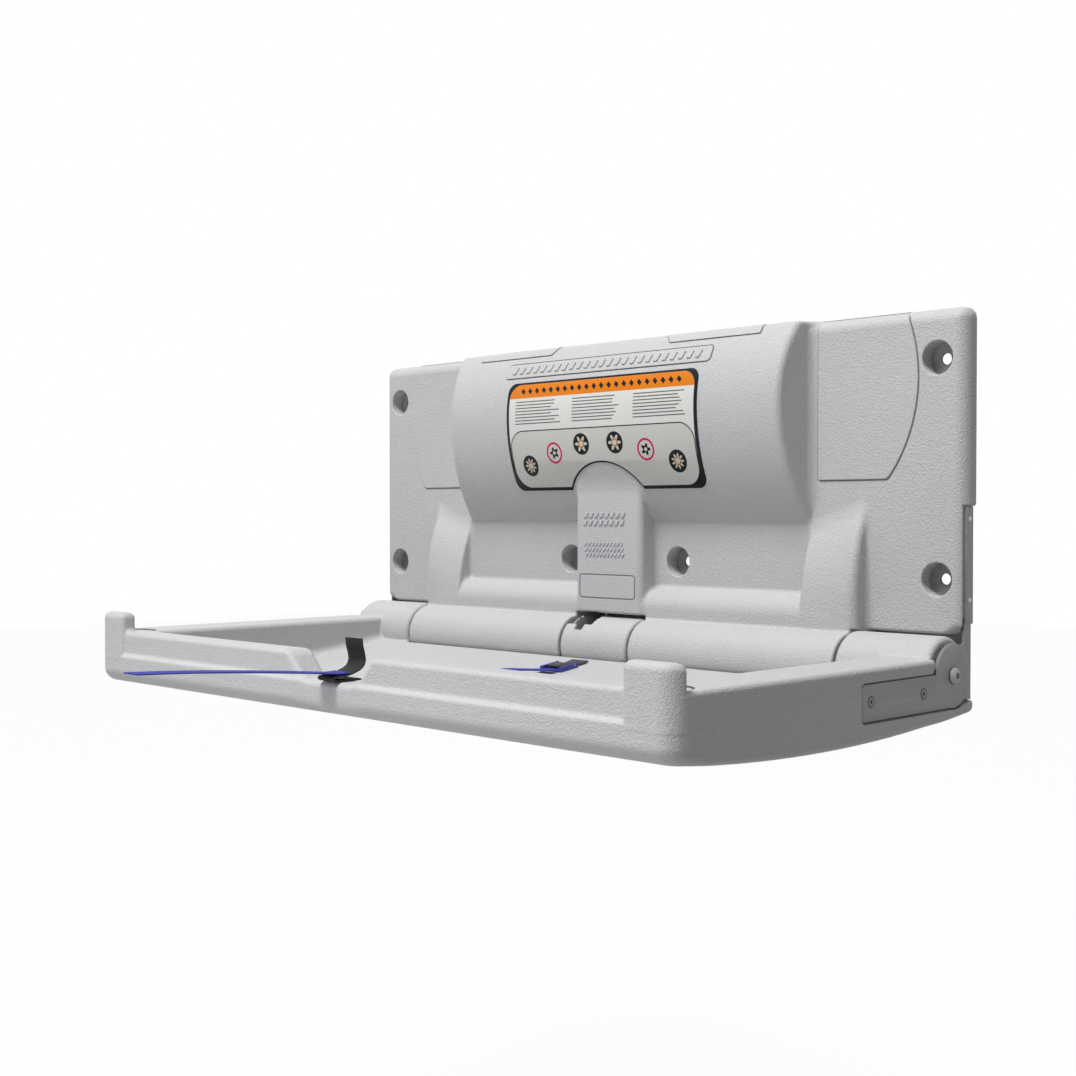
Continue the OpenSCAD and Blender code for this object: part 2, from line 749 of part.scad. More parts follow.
// Hinge plate: a flat arm with a round head, sunk flush in the tray's side
module hinge_plate() {
    difference() {
        x_prism(arm_in, arm_out) union() {
            round_rect([-arm_front, arm_top - arm_h], [ax, arm_top], arm_corner);
            translate([ax, az]) circle(arm_head_r);
        }
        x_rod(arm_in - over, arm_out + over, ax, az, rod_r + run);
        for (y = arm_screw_y) x_rod(arm_in - over, arm_out + over, y, arm_screw_z, arm_screw_r);
    }
}
module hinge_plate_left() {
    color(steel) mirror([1, 0, 0]) hinge_plate();
}
module hinge_plate_right() {
    color(steel) hinge_plate();
}
module arm_screws() {
    color("silver") both_sides() for (y = arm_screw_y) difference() {
        union() {
            x_rod(arm_in, arm_out, y, arm_screw_z, arm_screw_r);
            x_rod(arm_in - insert_l + over, arm_in + over, y, arm_screw_z, thread_r);
        }
        x_rod(arm_out - hex_d / 2, arm_out + over, y, arm_screw_z, hex_r / 2, $fn = hex_fn);
    }
}
module arm_inserts() {
    color("goldenrod") both_sides() for (y = arm_screw_y) difference() {
        x_rod(arm_in - insert_l, arm_in, y, arm_screw_z, insert_r);
        x_rod(arm_in - insert_l - over, arm_in + over, y, arm_screw_z, thread_r + run);
    }
}

// Crank that the strut's pin works in; its slot runs outwards at 45 degrees
module crank_plate() {
    slot_in = crank_y - pin_r;
    slot_out = crank_r + pin_r + run;
    arm_half = crank_hub_r * crank_arm_share;
    foot = barrel_r * crank_foot_share;
    color(steel) difference() {
        x_prism(crank_out, crank_in) union() {
            translate([ax, az]) circle(crank_hub_r);
            translate([ax, az]) rotate(crank_angle) translate([0, -arm_half])
                square([slot_out + run, 2 * arm_half]);
            translate([ax - foot, az - crank_hub_r]) square([foot, 2 * crank_hub_r]);
        }
        x_rod(crank_out - over, crank_in + over, ax, az, rod_r + run);
        x_prism(crank_out - over, crank_in + over) translate([ax, az]) rotate(crank_angle)
            translate([slot_in - slot_play, -pin_r - slot_play])
            square([slot_out - slot_in + slot_play + over, 2 * (pin_r + slot_play)]);
    }
}
module crank_screws() {
    rise = crank_hub_r * crank_screw_rise_share;
    color("silver") for (z = [az - rise, az + rise])
        x_rod(crank_in, crank_in + crank_screw_h, ax - barrel_r * crank_screw_share, z, crank_screw_r);
}

// Ribbon of even thickness along points in the side view
function unit(v) = v / norm(v);
function side_normal(p, i) = let (d = unit(p[min(i + 1, len(p) - 1)] - p[max(i - 1, 0)])) [-d[1], d[0]];
module ribbon(p, w, t) {
    left = [for (i = [0:len(p) - 1]) p[i] + side_normal(p, i) * t / 2];
    right = [for (i = [len(p) - 1:-1:0]) p[i] - side_normal(p, i) * t / 2];
    x_prism(-w / 2, w / 2) polygon(concat(left, right));
}
module keeper_webbing() {
    color("#2e2f30") ribbon(web_pts, web_w, web_t);
}
module webbing_anchor() {
    color("silver") translate([0, anchor_y, -ledge_z + 2 * seat + web_t])
        cylinder(h = anchor_t, r = anchor_r);
}
module bed_strap() {
    color("#333f5e") ribbon(bed_strap_pts, strap_w, strap_t);
}
module strap_tail() {
    color("#333f5e") ribbon(tail_pts, strap_w, strap_t);
}

// Cam buckle that lies on the bed's slope: a channel, its pin and lever, and a stiff tab behind it
module on_slope() {
    translate([0, buckle_y, bed_z(buckle_y)])
        rotate([asin((buckle_y - bed_mid_y) / bed_r), 0, 0]) children();
}
module buckle_body() {
    color("#2f3f8f") on_slope() difference() {
        box([-buckle_half, -buckle_len / 2, buckle_lift],
            [buckle_half, buckle_len / 2, buckle_lift + buckle_h]);
        box([buckle_wall - buckle_half, -buckle_len / 2 - over, buckle_lift + buckle_base],
            [buckle_half - buckle_wall, buckle_len / 2 + over, buckle_lift + buckle_h + over]);
        x_rod(-buckle_half - over, buckle_half + over, buckle_pin_v, buckle_pin_h, buckle_pin_r);
    }
}
module buckle_pin() {
    color("silver") on_slope() x_rod(-buckle_half, buckle_half, buckle_pin_v, buckle_pin_h, buckle_pin_r);
}
module buckle_tab() {
    color("#26272a") on_slope() translate([0, buckle_len / 2 + seat, buckle_lift]) rotate([tab_tilt, 0, 0])
        box([-strap_w / 2, 0, 0], [strap_w / 2, tab_l, tab_t]);
}
module buckle_lever() {
    lever_half = buckle_half - buckle_wall - seat;
    barrel_t = buckle_pin_h - buckle_lift - buckle_base - seat;
    color("#26272a") on_slope() difference() {
        union() {
            x_rod(-lever_half, lever_half, buckle_pin_v, buckle_pin_h, barrel_t);
            box([-lever_half, buckle_pin_v - lever_l, buckle_pin_h + barrel_t - lever_t],
                [lever_half, buckle_pin_v, buckle_pin_h + barrel_t]);
        }
        x_rod(-buckle_half, buckle_half, buckle_pin_v, buckle_pin_h, buckle_pin_r + run);
    }
}

wall_shell();
back_plate();
plate_screws();
bracket_left();
bracket_right();
bracket_screws();
hinge_rod();
pivot_screws();
pivot_washers();
label_plate();
strut_bracket();
strut_top_pin();
strut_cylinder();
strut_gland();
strut_rod();
strut_eye();
strut_pin();
tray_shell();
hinge_plate_left();
hinge_plate_right();
arm_screws();
arm_inserts();
hinge_bushes();
crank_plate();
crank_screws();
keeper_webbing();
webbing_anchor();
bed_strap();
strap_tail();
buckle_body();
buckle_pin();
buckle_tab();
buckle_lever();
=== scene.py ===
import json
import math

import bmesh
import bpy
import numpy as np
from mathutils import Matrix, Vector


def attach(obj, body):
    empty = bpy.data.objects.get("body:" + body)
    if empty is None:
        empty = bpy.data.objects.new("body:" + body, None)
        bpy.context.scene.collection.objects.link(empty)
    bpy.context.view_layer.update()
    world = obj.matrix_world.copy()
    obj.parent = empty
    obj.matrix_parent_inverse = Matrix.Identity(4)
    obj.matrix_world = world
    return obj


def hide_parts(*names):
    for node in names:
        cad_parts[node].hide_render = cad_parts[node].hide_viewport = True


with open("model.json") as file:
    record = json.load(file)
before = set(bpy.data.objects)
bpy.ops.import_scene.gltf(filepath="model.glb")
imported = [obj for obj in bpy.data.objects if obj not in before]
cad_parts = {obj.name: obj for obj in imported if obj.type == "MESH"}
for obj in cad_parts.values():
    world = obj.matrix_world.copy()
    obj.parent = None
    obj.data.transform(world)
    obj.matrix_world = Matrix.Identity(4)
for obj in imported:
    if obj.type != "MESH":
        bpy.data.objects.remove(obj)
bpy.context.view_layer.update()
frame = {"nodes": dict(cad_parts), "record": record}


# Wall moulding: one grey polyethylene shell that hangs on six wall screws. It carries the roll, the pillar
# over the lift strut, the ledge, the shoulders and the two hinge barrels. Moulded hollow, with soft
# fillets in every corner and a finely pebbled face.
HINGE_Y, HINGE_Z = -40, -89  # millimetres, as every size that a moulding's field uses
HALF_WIDTH, TOP, WING_FOOT, WING_FACE = 438, 262, -52.7, -20
ROLL_HALF, ROLL_FACE, CREST, ROLL_UPPER_R, ROLL_LOWER_R = 262, -66.5, 180, 134, 197
BAY_FACE, BAY_FOOT = -21.4, -50.5
SHOULDER_WIDTH, SHOULDER_TOP, SHOULDER_R = 66, -20, 207.7
LEDGE_FACE, LEDGE_TOP, LEDGE_FOOT = -43, -43, -59
PILLAR_HALF, PILLAR_FACE, PILLAR_ARCH_Z, PILLAR_ARCH_R = 51, -48.5, 56.5, 64
BARREL_R, BARREL_MIDDLE, BARREL_HALF, BARREL_FOOT = 34.5, 188.25, 134.75, -123.5
SWEEP_R, ROD_R, STRUT_X, STRUT_ROOM = 37.5, 5.1, -26, 12
PLATE_HALF, PLATE_MIDDLE, PLATE_RISE, BRACKET_X, BRACKET_TOP, EAR_X = 431.5, 61.75, 186.25, 432.5, 71.3, 429.7
HOLE_X, HOLE_RISE, INNER_HOLE_X, INNER_HOLE_Z = 406.4, 213.9, 83, 10.3
HOLE_R, COUNTERBORE_R = 5.5, 16.4


def rounded(u, v, low_u, high_u, low_v, high_v, r):
    """Signed distance to a rectangle with rounded corners."""
    du = np.abs(u - (low_u + high_u) / 2) - (high_u - low_u) / 2 + r
    dv = np.abs(v - (low_v + high_v) / 2) - (high_v - low_v) / 2 + r
    return np.hypot(np.maximum(du, 0), np.maximum(dv, 0)) + np.minimum(np.maximum(du, dv), 0) - r


def join(a, b, r):
    """Two bodies moulded as one, with a fillet of radius r where they meet."""
    return np.maximum(r, np.minimum(a, b)) - np.hypot(np.maximum(r - a, 0), np.maximum(r - b, 0))


def meet(a, b, r):
    """What two bodies share, with its edge rounded to radius r."""
    return np.minimum(-r, np.maximum(a, b)) + np.hypot(np.maximum(r + a, 0), np.maximum(r + b, 0))


def cut(a, b, r):
    """Body a with b taken out of it, the new edge rounded to radius r."""
    return meet(a, -b, r)


def ramp(v, low, high):
    """0 below low, 1 above high, and smooth between."""
    t = np.clip((v - low) / (high - low), 0, 1)
    return t * t * (3 - 2 * t)


def wing_skin(x, y, z):
    """The two flat wings, whose lower front edge is sharper than the others."""
    soft = np.maximum(ramp(z, -44, -24), ramp(np.abs(x), 412, 430))
    outline = rounded(x, z, -HALF_WIDTH, HALF_WIDTH, WING_FOOT, TOP, 12)
    return meet(outline, WING_FACE - y, 3.5 + 10.5 * soft)


def roll_skin(x, y, z):
    """The bulging roll: one arc above its crest and a wider one below, its ends drawn in towards the front."""
    upper = np.hypot(y - ROLL_FACE - ROLL_UPPER_R, z - CREST) - ROLL_UPPER_R
    lower = np.hypot(y - ROLL_FACE - ROLL_LOWER_R, z - CREST) - ROLL_LOWER_R
    ends = (np.abs(x) - ROLL_HALF - (y - BAY_FACE) * 0.2169) / 1.0233
    return meet(meet(np.where(z > CREST, upper, lower), ends, 6), z - TOP, 4)


def wall_moulding(x, y, z):
    a = np.abs(x)
    hinge = np.hypot(y - HINGE_Y, z - HINGE_Z)
    bay = np.maximum(np.maximum(a - ROLL_HALF, BAY_FACE - y), np.maximum(z - 58, BAY_FOOT - z))
    plate = np.minimum(wing_skin(x, y, z), bay)
    fillet = 0.8 + 8 * ramp(a, 254, ROLL_HALF) * ramp(z, 54, 90)
    body = np.maximum(join(plate, roll_skin(x, y, z), fillet), z - TOP)
    # Shoulders, whose tops sweep up towards the outside
    lift = z + 23 * (1 - np.clip((a - ROLL_HALF) / SHOULDER_WIDTH, 0, 1) ** 2)
    shoulder = np.where(lift > SHOULDER_TOP, np.hypot(y - (SHOULDER_R + LEDGE_FACE), lift - SHOULDER_TOP) - SHOULDER_R,
                        LEDGE_FACE - y)
    shoulder = meet(shoulder, a - ROLL_HALF - SHOULDER_WIDTH, 9)
    shoulder = meet(shoulder, ROLL_HALF - a, 3.5)
    shoulder = np.maximum(shoulder, LEDGE_FOOT - z)
    ledge_r = WING_FACE - LEDGE_FACE
    ledge = np.where(z > LEDGE_TOP, np.hypot(y - WING_FACE, z - LEDGE_TOP) - ledge_r, LEDGE_FACE - y)
    ledge = np.maximum(np.maximum(ledge, LEDGE_FOOT - z), np.maximum(a - 300, z + 20))
    low = join(ledge, shoulder, 1.2 + 7 * ramp(y - LEDGE_FACE, 0, 12))
    body = join(body, low, 5)
    barrel = np.maximum(np.maximum(HINGE_Y - y, z - BAY_FOOT), BARREL_FOOT - z)
    barrel = np.minimum(hinge - BARREL_R, barrel)
    body = join(body, meet(barrel, np.abs(a - BARREL_MIDDLE) - BARREL_HALF, 3), 2.5)
    arch = np.hypot(x, np.maximum(z - PILLAR_ARCH_Z, 0)) - PILLAR_ARCH_R
    pillar = meet(rounded(x, y, -PILLAR_HALF, PILLAR_HALF, PILLAR_FACE, 60, 8), arch, 7)
    pillar = meet(pillar, BAY_FOOT - z, 3)
    body = join(body, pillar, 5)
    # Room for the tray's knuckles, its ends and the side brackets
    body = cut(body, np.maximum(a + BARREL_HALF - BARREL_MIDDLE, z - BAY_FOOT), 1.5)
    body = cut(body, np.maximum(hinge - SWEEP_R, BARREL_MIDDLE + BARREL_HALF - a), 1)
    body = cut(body, np.maximum(BRACKET_X - a, z - BRACKET_TOP), 0.8)
    body = np.maximum(body, -np.maximum(np.maximum(EAR_X - a, -15 - y), z + 35.7))
    # Counterbored fixing holes
    fixing = np.minimum(np.hypot(a - HOLE_X, np.minimum(np.abs(z), np.abs(z - HOLE_RISE))),
                        np.hypot(a - INNER_HOLE_X, z - INNER_HOLE_Z))
    body = cut(body, meet(fixing - COUNTERBORE_R, y + 3, 1.5), 0.9)
    body = cut(body, fixing - HOLE_R, 0.4)
    # Seat of the backing plate, cell of the lift strut, bore of the hinge rod
    seat = np.maximum(np.maximum(a - PLATE_HALF, -1.5 - y), np.abs(z - PLATE_MIDDLE) - PLATE_RISE)
    body = np.maximum(body, -seat)
    cell = np.maximum(np.maximum(np.abs(x - STRUT_X) - STRUT_ROOM, -44.5 - y), z - 98.5)
    body = np.maximum(np.maximum(body, -cell), ROD_R - hinge)
    return meet(body, y, 0.6)


def grid_lines(low, high, coarse, spans):
    """Grid positions from low to high. Each span (from, to, step) has its own step, which grows away from it."""
    at = [low]
    while at[-1] < high:
        at.append(at[-1] + min([coarse] + [fine + 0.3 * max(a - at[-1], at[-1] - b, 0) for a, b, fine in spans]))
    at = np.array(at)
    return low + (at - low) * (high - low) / (at[-1] - low)


def on_both_sides(*spans):
    return [side for a, b, fine in spans for side in ((a, b, fine), (-b, -a, fine))]


def net_over(field, xs, ys, zs):
    """Closed quad mesh on the field's zero surface: one point in each grid cell that the surface crosses."""
    d = field(xs[:, None, None], ys[None, :, None], zs[None, None, :])
    inside = d < 0
    corners = sum(inside[i:inside.shape[0] - 1 + i, j:inside.shape[1] - 1 + j, k:inside.shape[2] - 1 + k]
                  .astype(np.int8) for i in (0, 1) for j in (0, 1) for k in (0, 1))
    mixed = (corners > 0) & (corners < 8)
    index = np.full(mixed.shape, -1)
    index[mixed] = np.arange(mixed.sum())
    lines = (xs, ys, zs)
    total, count, quads = np.zeros((mixed.sum(), 3)), np.zeros(mixed.sum()), []
    for axis in range(3):
        u, v = [(1, 2), (2, 0), (0, 1)][axis]
        first = [slice(None)] * 3
        second = [slice(None)] * 3
        first[axis], second[axis] = slice(0, -1), slice(1, None)
        da, db = d[tuple(first)], d[tuple(second)]
        at = np.argwhere((da < 0) != (db < 0))
        pa, pb = da[tuple(at.T)], db[tuple(at.T)]
        point = np.stack([lines[c][at[:, c]] for c in range(3)], 1).astype(float)
        step = lines[axis][at[:, axis] + 1] - lines[axis][at[:, axis]]
        point[:, axis] += step * pa / (pa - pb)
        ring = []
        for du, dv in ((-1, -1), (0, -1), (0, 0), (-1, 0)):
            cell = at.copy()
            cell[:, u] += du
            cell[:, v] += dv
            ring.append(index[tuple(cell.T)])
        for i in ring:
            for c in range(3):
                total[:, c] += np.bincount(i, point[:, c], len(count))
            count += np.bincount(i, minlength=len(count))
        ring = np.stack(ring, 1)
        quads.append(np.where((pa < 0)[:, None], ring, ring[:, ::-1]))
    cells = np.argwhere(mixed)
    low = np.stack([lines[c][cells[:, c]] for c in range(3)], 1)
    size = np.stack([lines[c][cells[:, c] + 1] for c in range(3)], 1) - low
    return total / count[:, None], np.concatenate(quads), low, size


def slope(field, p, step=0.05):
    """The field's gradient at the points, by central differences."""
    g = []
    for c in range(3):
        e = np.zeros(3)
        e[c] = step
        g.append((field(*(p + e).T) - field(*(p - e).T)) / (2 * step))
    return np.stack(g, 1)


def moulding(name, field, xs, ys, zs, most=186000):
    """Mesh of a moulding whose shape is a distance field in millimetres, with the field's own normals."""
    p, quads, low, size = net_over(field, xs, ys, zs)
    for _ in range(3):
        g = slope(field, p)
        p = p - g * (field(*p.T) / np.maximum((g * g).sum(1), 0.2))[:, None]
        p = np.clip(p, low - 0.1 * size, low + 1.1 * size)
    mesh = bpy.data.meshes.new(name)
    mesh.vertices.add(len(p))
    mesh.vertices.foreach_set("co", (p * 0.001).astype(np.float32).ravel())
    mesh.loops.add(quads.size)
    mesh.loops.foreach_set("vertex_index", quads.ravel().astype(np.int32))
    mesh.polygons.add(len(quads))
    mesh.polygons.foreach_set("loop_start", np.arange(0, quads.size, 4, dtype=np.int32))
    mesh.update(calc_edges=True)
    mesh.validate()
    piece = bpy.data.objects.new(name, mesh)
    bpy.context.scene.collection.objects.link(piece)
    if 2 * len(quads) > most:
        thin = piece.modifiers.new("thin", "DECIMATE")
        thin.ratio = most / (2 * len(quads))
        made = bpy.data.meshes.new_from_object(piece.evaluated_get(bpy.context.evaluated_depsgraph_get()))
        piece.modifiers.remove(thin)
        piece.data = made
        made.name = name
    mesh = piece.data
    at = np.empty(len(mesh.vertices) * 3, np.float32)
    mesh.vertices.foreach_get("co", at)
    normals = slope(field, at.reshape(-1, 3).astype(float) * 1000, 0.3)
    normals /= np.linalg.norm(normals, axis=1)[:, None]
    mesh.polygons.foreach_set("use_smooth", np.ones(len(mesh.polygons), bool))
    mesh.normals_split_custom_set_from_vertices(normals.tolist())
    return piece


class Signal:
    """A shader value used in Python expressions; each operator adds a Math node."""

    def __init__(self, finish, socket):
        self.finish, self.socket = finish, socket

    def maths(self, kind, *values):
        return self.finish.add("ShaderNodeMath", {"operation": kind}, *values)

    def __add__(self, o):
        return self.maths("ADD", self, o)

    def __sub__(self, o):
        return self.maths("SUBTRACT", self, o)

    def __rsub__(self, o):
        return self.maths("SUBTRACT", o, self)

    def __mul__(self, o):
        return self.maths("MULTIPLY", self, o)

    def __truediv__(self, o):
        return self.maths("DIVIDE", self, o)

    __radd__, __rmul__ = __add__, __mul__

    def least(self, o):
        return self.maths("MINIMUM", self, o)

    def most(self, o):
        return self.maths("MAXIMUM", self, o)

    def size(self):
        return self.maths("ABSOLUTE", self)

    def wave(self):
        return self.maths("SINE", self)

    def step(self, low, high):
        """0 where this is below low, 1 above high, smooth between."""
        return self.finish.add("ShaderNodeMapRange", {"interpolation_type": "SMOOTHSTEP"}, self, low, high, 0, 1)


class Finish:
    """A material for one finish, with the nodes that vary it over the surface."""

    def __init__(self, name, colour, rough, metal=0.0, **plain):
        self.material = bpy.data.materials.new(name)
        self.material.use_nodes = True
        self.tree = self.material.node_tree
        self.face = self.tree.nodes["Principled BSDF"]
        self.face.inputs["Base Color"].default_value = (*colour, 1)
        self.face.inputs["Roughness"].default_value = rough
        self.face.inputs["Metallic"].default_value = metal
        for socket, value in plain.items():
            self.face.inputs[socket.replace("_", " ")].default_value = value

    def add(self, kind, settings, *values, out=0, **named):
        """Adds a node, sets it up, then fills its sockets in order or by name. Returns one of its outputs."""
        node = self.tree.nodes.new(kind)
        for key, value in settings.items():
            setattr(node, key, value)
        for key, value in [*enumerate(values), *[(k.replace("_", " "), v) for k, v in named.items()]]:
            if isinstance(value, Signal):
                self.tree.links.new(value.socket, node.inputs[key])
            elif value is not None:
                node.inputs[key].default_value = value
        return Signal(self, node.outputs[out])

    def feed(self, socket, signal):
        self.tree.links.new(signal.socket, self.face.inputs[socket])

    def place(self, kind="Object"):
        """x, y and z (or u, v) of the shaded point, and the point itself."""
        point = self.add("ShaderNodeTexCoord", {}, out=kind)
        split = self.add("ShaderNodeSeparateXYZ", {}, point)
        return [Signal(self, s) for s in split.socket.node.outputs], point

    def noise(self, point, scale, detail=2.0, rough=0.5):
        return self.add("ShaderNodeTexNoise", {}, Vector=point, Scale=scale, Detail=detail, Roughness=rough)

    def mix(self, share, a, b):
        """Colour a where share is 0 and b where it is 1."""
        values = [c if isinstance(c, Signal) else (*c, 1) for c in (a, b)]
        node = self.add("ShaderNodeMix", {"data_type": "RGBA"}, share).socket.node
        for value, socket in zip(values, [s for s in node.inputs if s.type == "RGBA"]):
            if isinstance(value, Signal):
                self.tree.links.new(value.socket, socket)
            else:
                socket.default_value = value
        return Signal(self, [s for s in node.outputs if s.type == "RGBA"][0])

    def bump(self, height, depth, strength=1.0):
        self.feed("Normal", self.add("ShaderNodeBump", {}, Strength=strength, Distance=depth, Height=height))


def pebbled(name, colour, grooves_and_painted_shade=None, dark=0.6):
    """Grey moulded polyethylene: fine pebbling, faint flow marks and a low sheen, with optional lines of painted
    shade.
    """
    f = Finish(name, colour, 0.46, Specular_IOR_Level=0.4)
    (x, y, z), point = f.place()
    fine = f.noise(point, 620, 2.0, 0.6)
    broad = f.noise(point, 9, 3.0)
    shade = (fine - 0.5) * 0.34 + (broad - 0.5) * 0.06 + 1
    height = fine
    # The given lines darken the colour as painted shade in grooves, at steps, in gaps and in recesses, by up to dark;
    # they also sink the bump.
    if grooves_and_painted_shade:
        line = grooves_and_painted_shade(x, y, z)
        shade = shade * (1 - line * dark)
        height = height - line * 1.4
    f.feed("Base Color", f.add("ShaderNodeVectorMath", {"operation": "SCALE"}, (*colour,), Scale=shade))
    f.feed("Roughness", broad * 0.10 + fine * 0.14 + 0.36)
    f.bump(height, 0.0014, 0.75)
    return f.material


def reach(u, v):
    """Length of the vector (u, v)."""
    return (u * u + v * v).maths("SQRT", u * u + v * v)


def rim(u, v, half_u, half_v, r):
    """Signed distance to a rounded rectangle round the origin."""
    du, dv = u.size() - (half_u - r), v.size() - (half_v - r)
    return reach(du.most(0.0), dv.most(0.0)) + du.most(dv).least(0.0) - r


def wall_shade_lines(x, y, z):
    """Painted shade in the engraved frame low on the pillar, along the foot of each raised part and in the
    counterbores; all three also sink the bump.
    """
    x, y, z = x * 1000, y * 1000, z * 1000
    a = x.size()
    engraved_groove_shade = rim(x, z + 19.8, 42.6, 13.4, 4).size().step(1.1, 0.3) * (y + 46).step(1, -1)
    panel = (PANEL_INNER - a).most(PANEL_FOOT - z).most(reach(a - PANEL_ARC_X, z - PANEL_ARC_Z) - PANEL_ARC_R)
    tab = (TAB_FOOT - z).most(a - TAB_OUTER).most((TAB_INNER - (z - TAB_FOOT) * TAB_SLANT - a) * 0.7435)
    bar = rim(x, z - BAR_Z, BAR_HALF, BAR_RISE, BAR_R)
    foot_shade = panel.least(tab).least(bar)
    faint = (a - PANEL_INNER).size().step(1, 2) * 0.6 + 0.4
    foot_shade = foot_shade.step(1.4, 0.6) * foot_shade.step(-2, -1) * (y + 17).step(0, -1) * faint
    bore = reach(a - HOLE_X, z.size().least((z - HOLE_RISE).size())).least(reach(a - INNER_HOLE_X, z - INNER_HOLE_Z))
    bore = bore.step(COUNTERBORE_R, COUNTERBORE_R - 0.8) * (y + 18.5).step(-1, 1.5)
    return engraved_groove_shade.most(foot_shade).most(bore * 0.75)


# Outlines of the parts that stand proud of the skin, which the lines of painted shade follow
PANEL_INNER, PANEL_FOOT, PANEL_ARC_X, PANEL_ARC_Z, PANEL_ARC_R = 270, 98, 226, 196.6, 160
TAB_FOOT, TAB_OUTER, TAB_INNER, TAB_SLANT = 252, 215, 92, 0.9
BAR_Z, BAR_HALF, BAR_RISE, BAR_R = 235, 158, 8.5, 5
GREY = (0.505, 0.508, 0.516)
wall_grey = pebbled("Wall polyethylene", GREY, wall_shade_lines)
wall = moulding("wall_moulding", wall_moulding,
                grid_lines(-440, 440, 7, on_both_sides((12, 16, 2.2), (36, 60, 2.2), (64, 102, 1.3), (249, 273, 2),
                           (318, 332, 2), (352, 386, 2.3), (386, 427, 1.3), (427, 440, 2))),
                grid_lines(-77, 2, 2.4, [(-24, -17, 1.3)]),
                grid_lines(-126, 264, 7, [(-126, -18, 2.3), (-18, 30, 1.3), (46, 92, 2), (195, 233, 1.3),
                                          (246, 264, 2)]))
wall.data.materials.append(wall_grey)
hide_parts("wall_shell")
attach(wall, "wall_unit")


# Raised parts of the same moulding, 1.4 mm proud of its skin: a panel on each wing, two tabs on the roll's
# top edge and a long bar above the label. Each follows the skin that it stands on.
PROUD = 1.4


def raised(name, skin, outline, xs, ys, zs):
    def field(x, y, z):
        body = meet(skin(x, y + PROUD, z), outline(np.abs(x), z), 0.7)
        return meet(body, -skin(x, y - 0.5, z), 0.1)
    piece = moulding(name, field, xs, ys, zs)
    piece.data.materials.append(raised_grey)
    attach(piece, "wall_unit")


def panel_outline(a, z):
    arc = np.hypot(a - PANEL_ARC_X, z - PANEL_ARC_Z) - PANEL_ARC_R
    return meet(meet(PANEL_INNER - a, PANEL_FOOT - z, 3), arc, 3)


def tab_outline(a, z):
    slanted_end = (TAB_INNER - TAB_SLANT * (z - TAB_FOOT) - a) / 1.345
    return meet(meet(TAB_FOOT - z, a - TAB_OUTER, 1.5), slanted_end, 1.5)


def bar_outline(a, z):
    return rounded(a, z, -BAR_HALF, BAR_HALF, BAR_Z - BAR_RISE, BAR_Z + BAR_RISE, BAR_R)


raised_grey = pebbled("Raised polyethylene", GREY)
for side, low, high in (("left", -389, -267), ("right", 267, 389)):
    raised("wing_panel_" + side, wing_skin, panel_outline,
           np.linspace(low, high, 100), np.linspace(-24, 0, 34), np.linspace(95, 264, 130))
for side, low, high in (("left", -218, -79), ("right", 79, 218)):
    raised("roll_tab_" + side, roll_skin, tab_outline,
           np.linspace(low, high, 110), np.linspace(-50, -34, 30), np.linspace(249, 264, 22))
raised("roll_bar", roll_skin, bar_outline,
       grid_lines(-161, 161, 3, on_both_sides((150, 161, 0.8))), np.linspace(-62, -47, 32), np.linspace(224, 246, 30))


# Low relief on the bar and the pillar: one row of slanted lozenges on the bar, two rows high on the pillar
# and three small ones under them. They are moulded in one with the skin, about 1 mm proud of it.
def lozenge(wide, tall, thick, slant):
    """One lozenge lying on the plane y = 0, its face towards -y, its edges eased."""
    bm = bmesh.new()
    outline = [(-wide / 2 - slant, -tall / 2), (wide / 2 - slant, -tall / 2),
               (wide / 2 + slant, tall / 2), (-wide / 2 + slant, tall / 2)]
    back = [bm.verts.new((x / 1000, 0.0004, z / 1000)) for x, z in outline]
    face = [bm.verts.new((x / 1000, -thick / 1000, z / 1000)) for x, z in outline]
    bm.faces.new(face)
    bm.faces.new(back[::-1])
    for i in range(4):
        bm.faces.new((face[i], back[i], back[(i + 1) % 4], face[(i + 1) % 4]))
    bmesh.ops.recalc_face_normals(bm, faces=bm.faces)
    soft = [e for e in bm.edges if all(v.co.y < 0 for v in e.verts)]
    bmesh.ops.bevel(bm, geom=soft, offset=0.00035, segments=2, affect="EDGES", profile=0.5)
    mesh = bpy.data.meshes.new("lozenge")
    bm.to_mesh(mesh)
    bm.free()
    return mesh


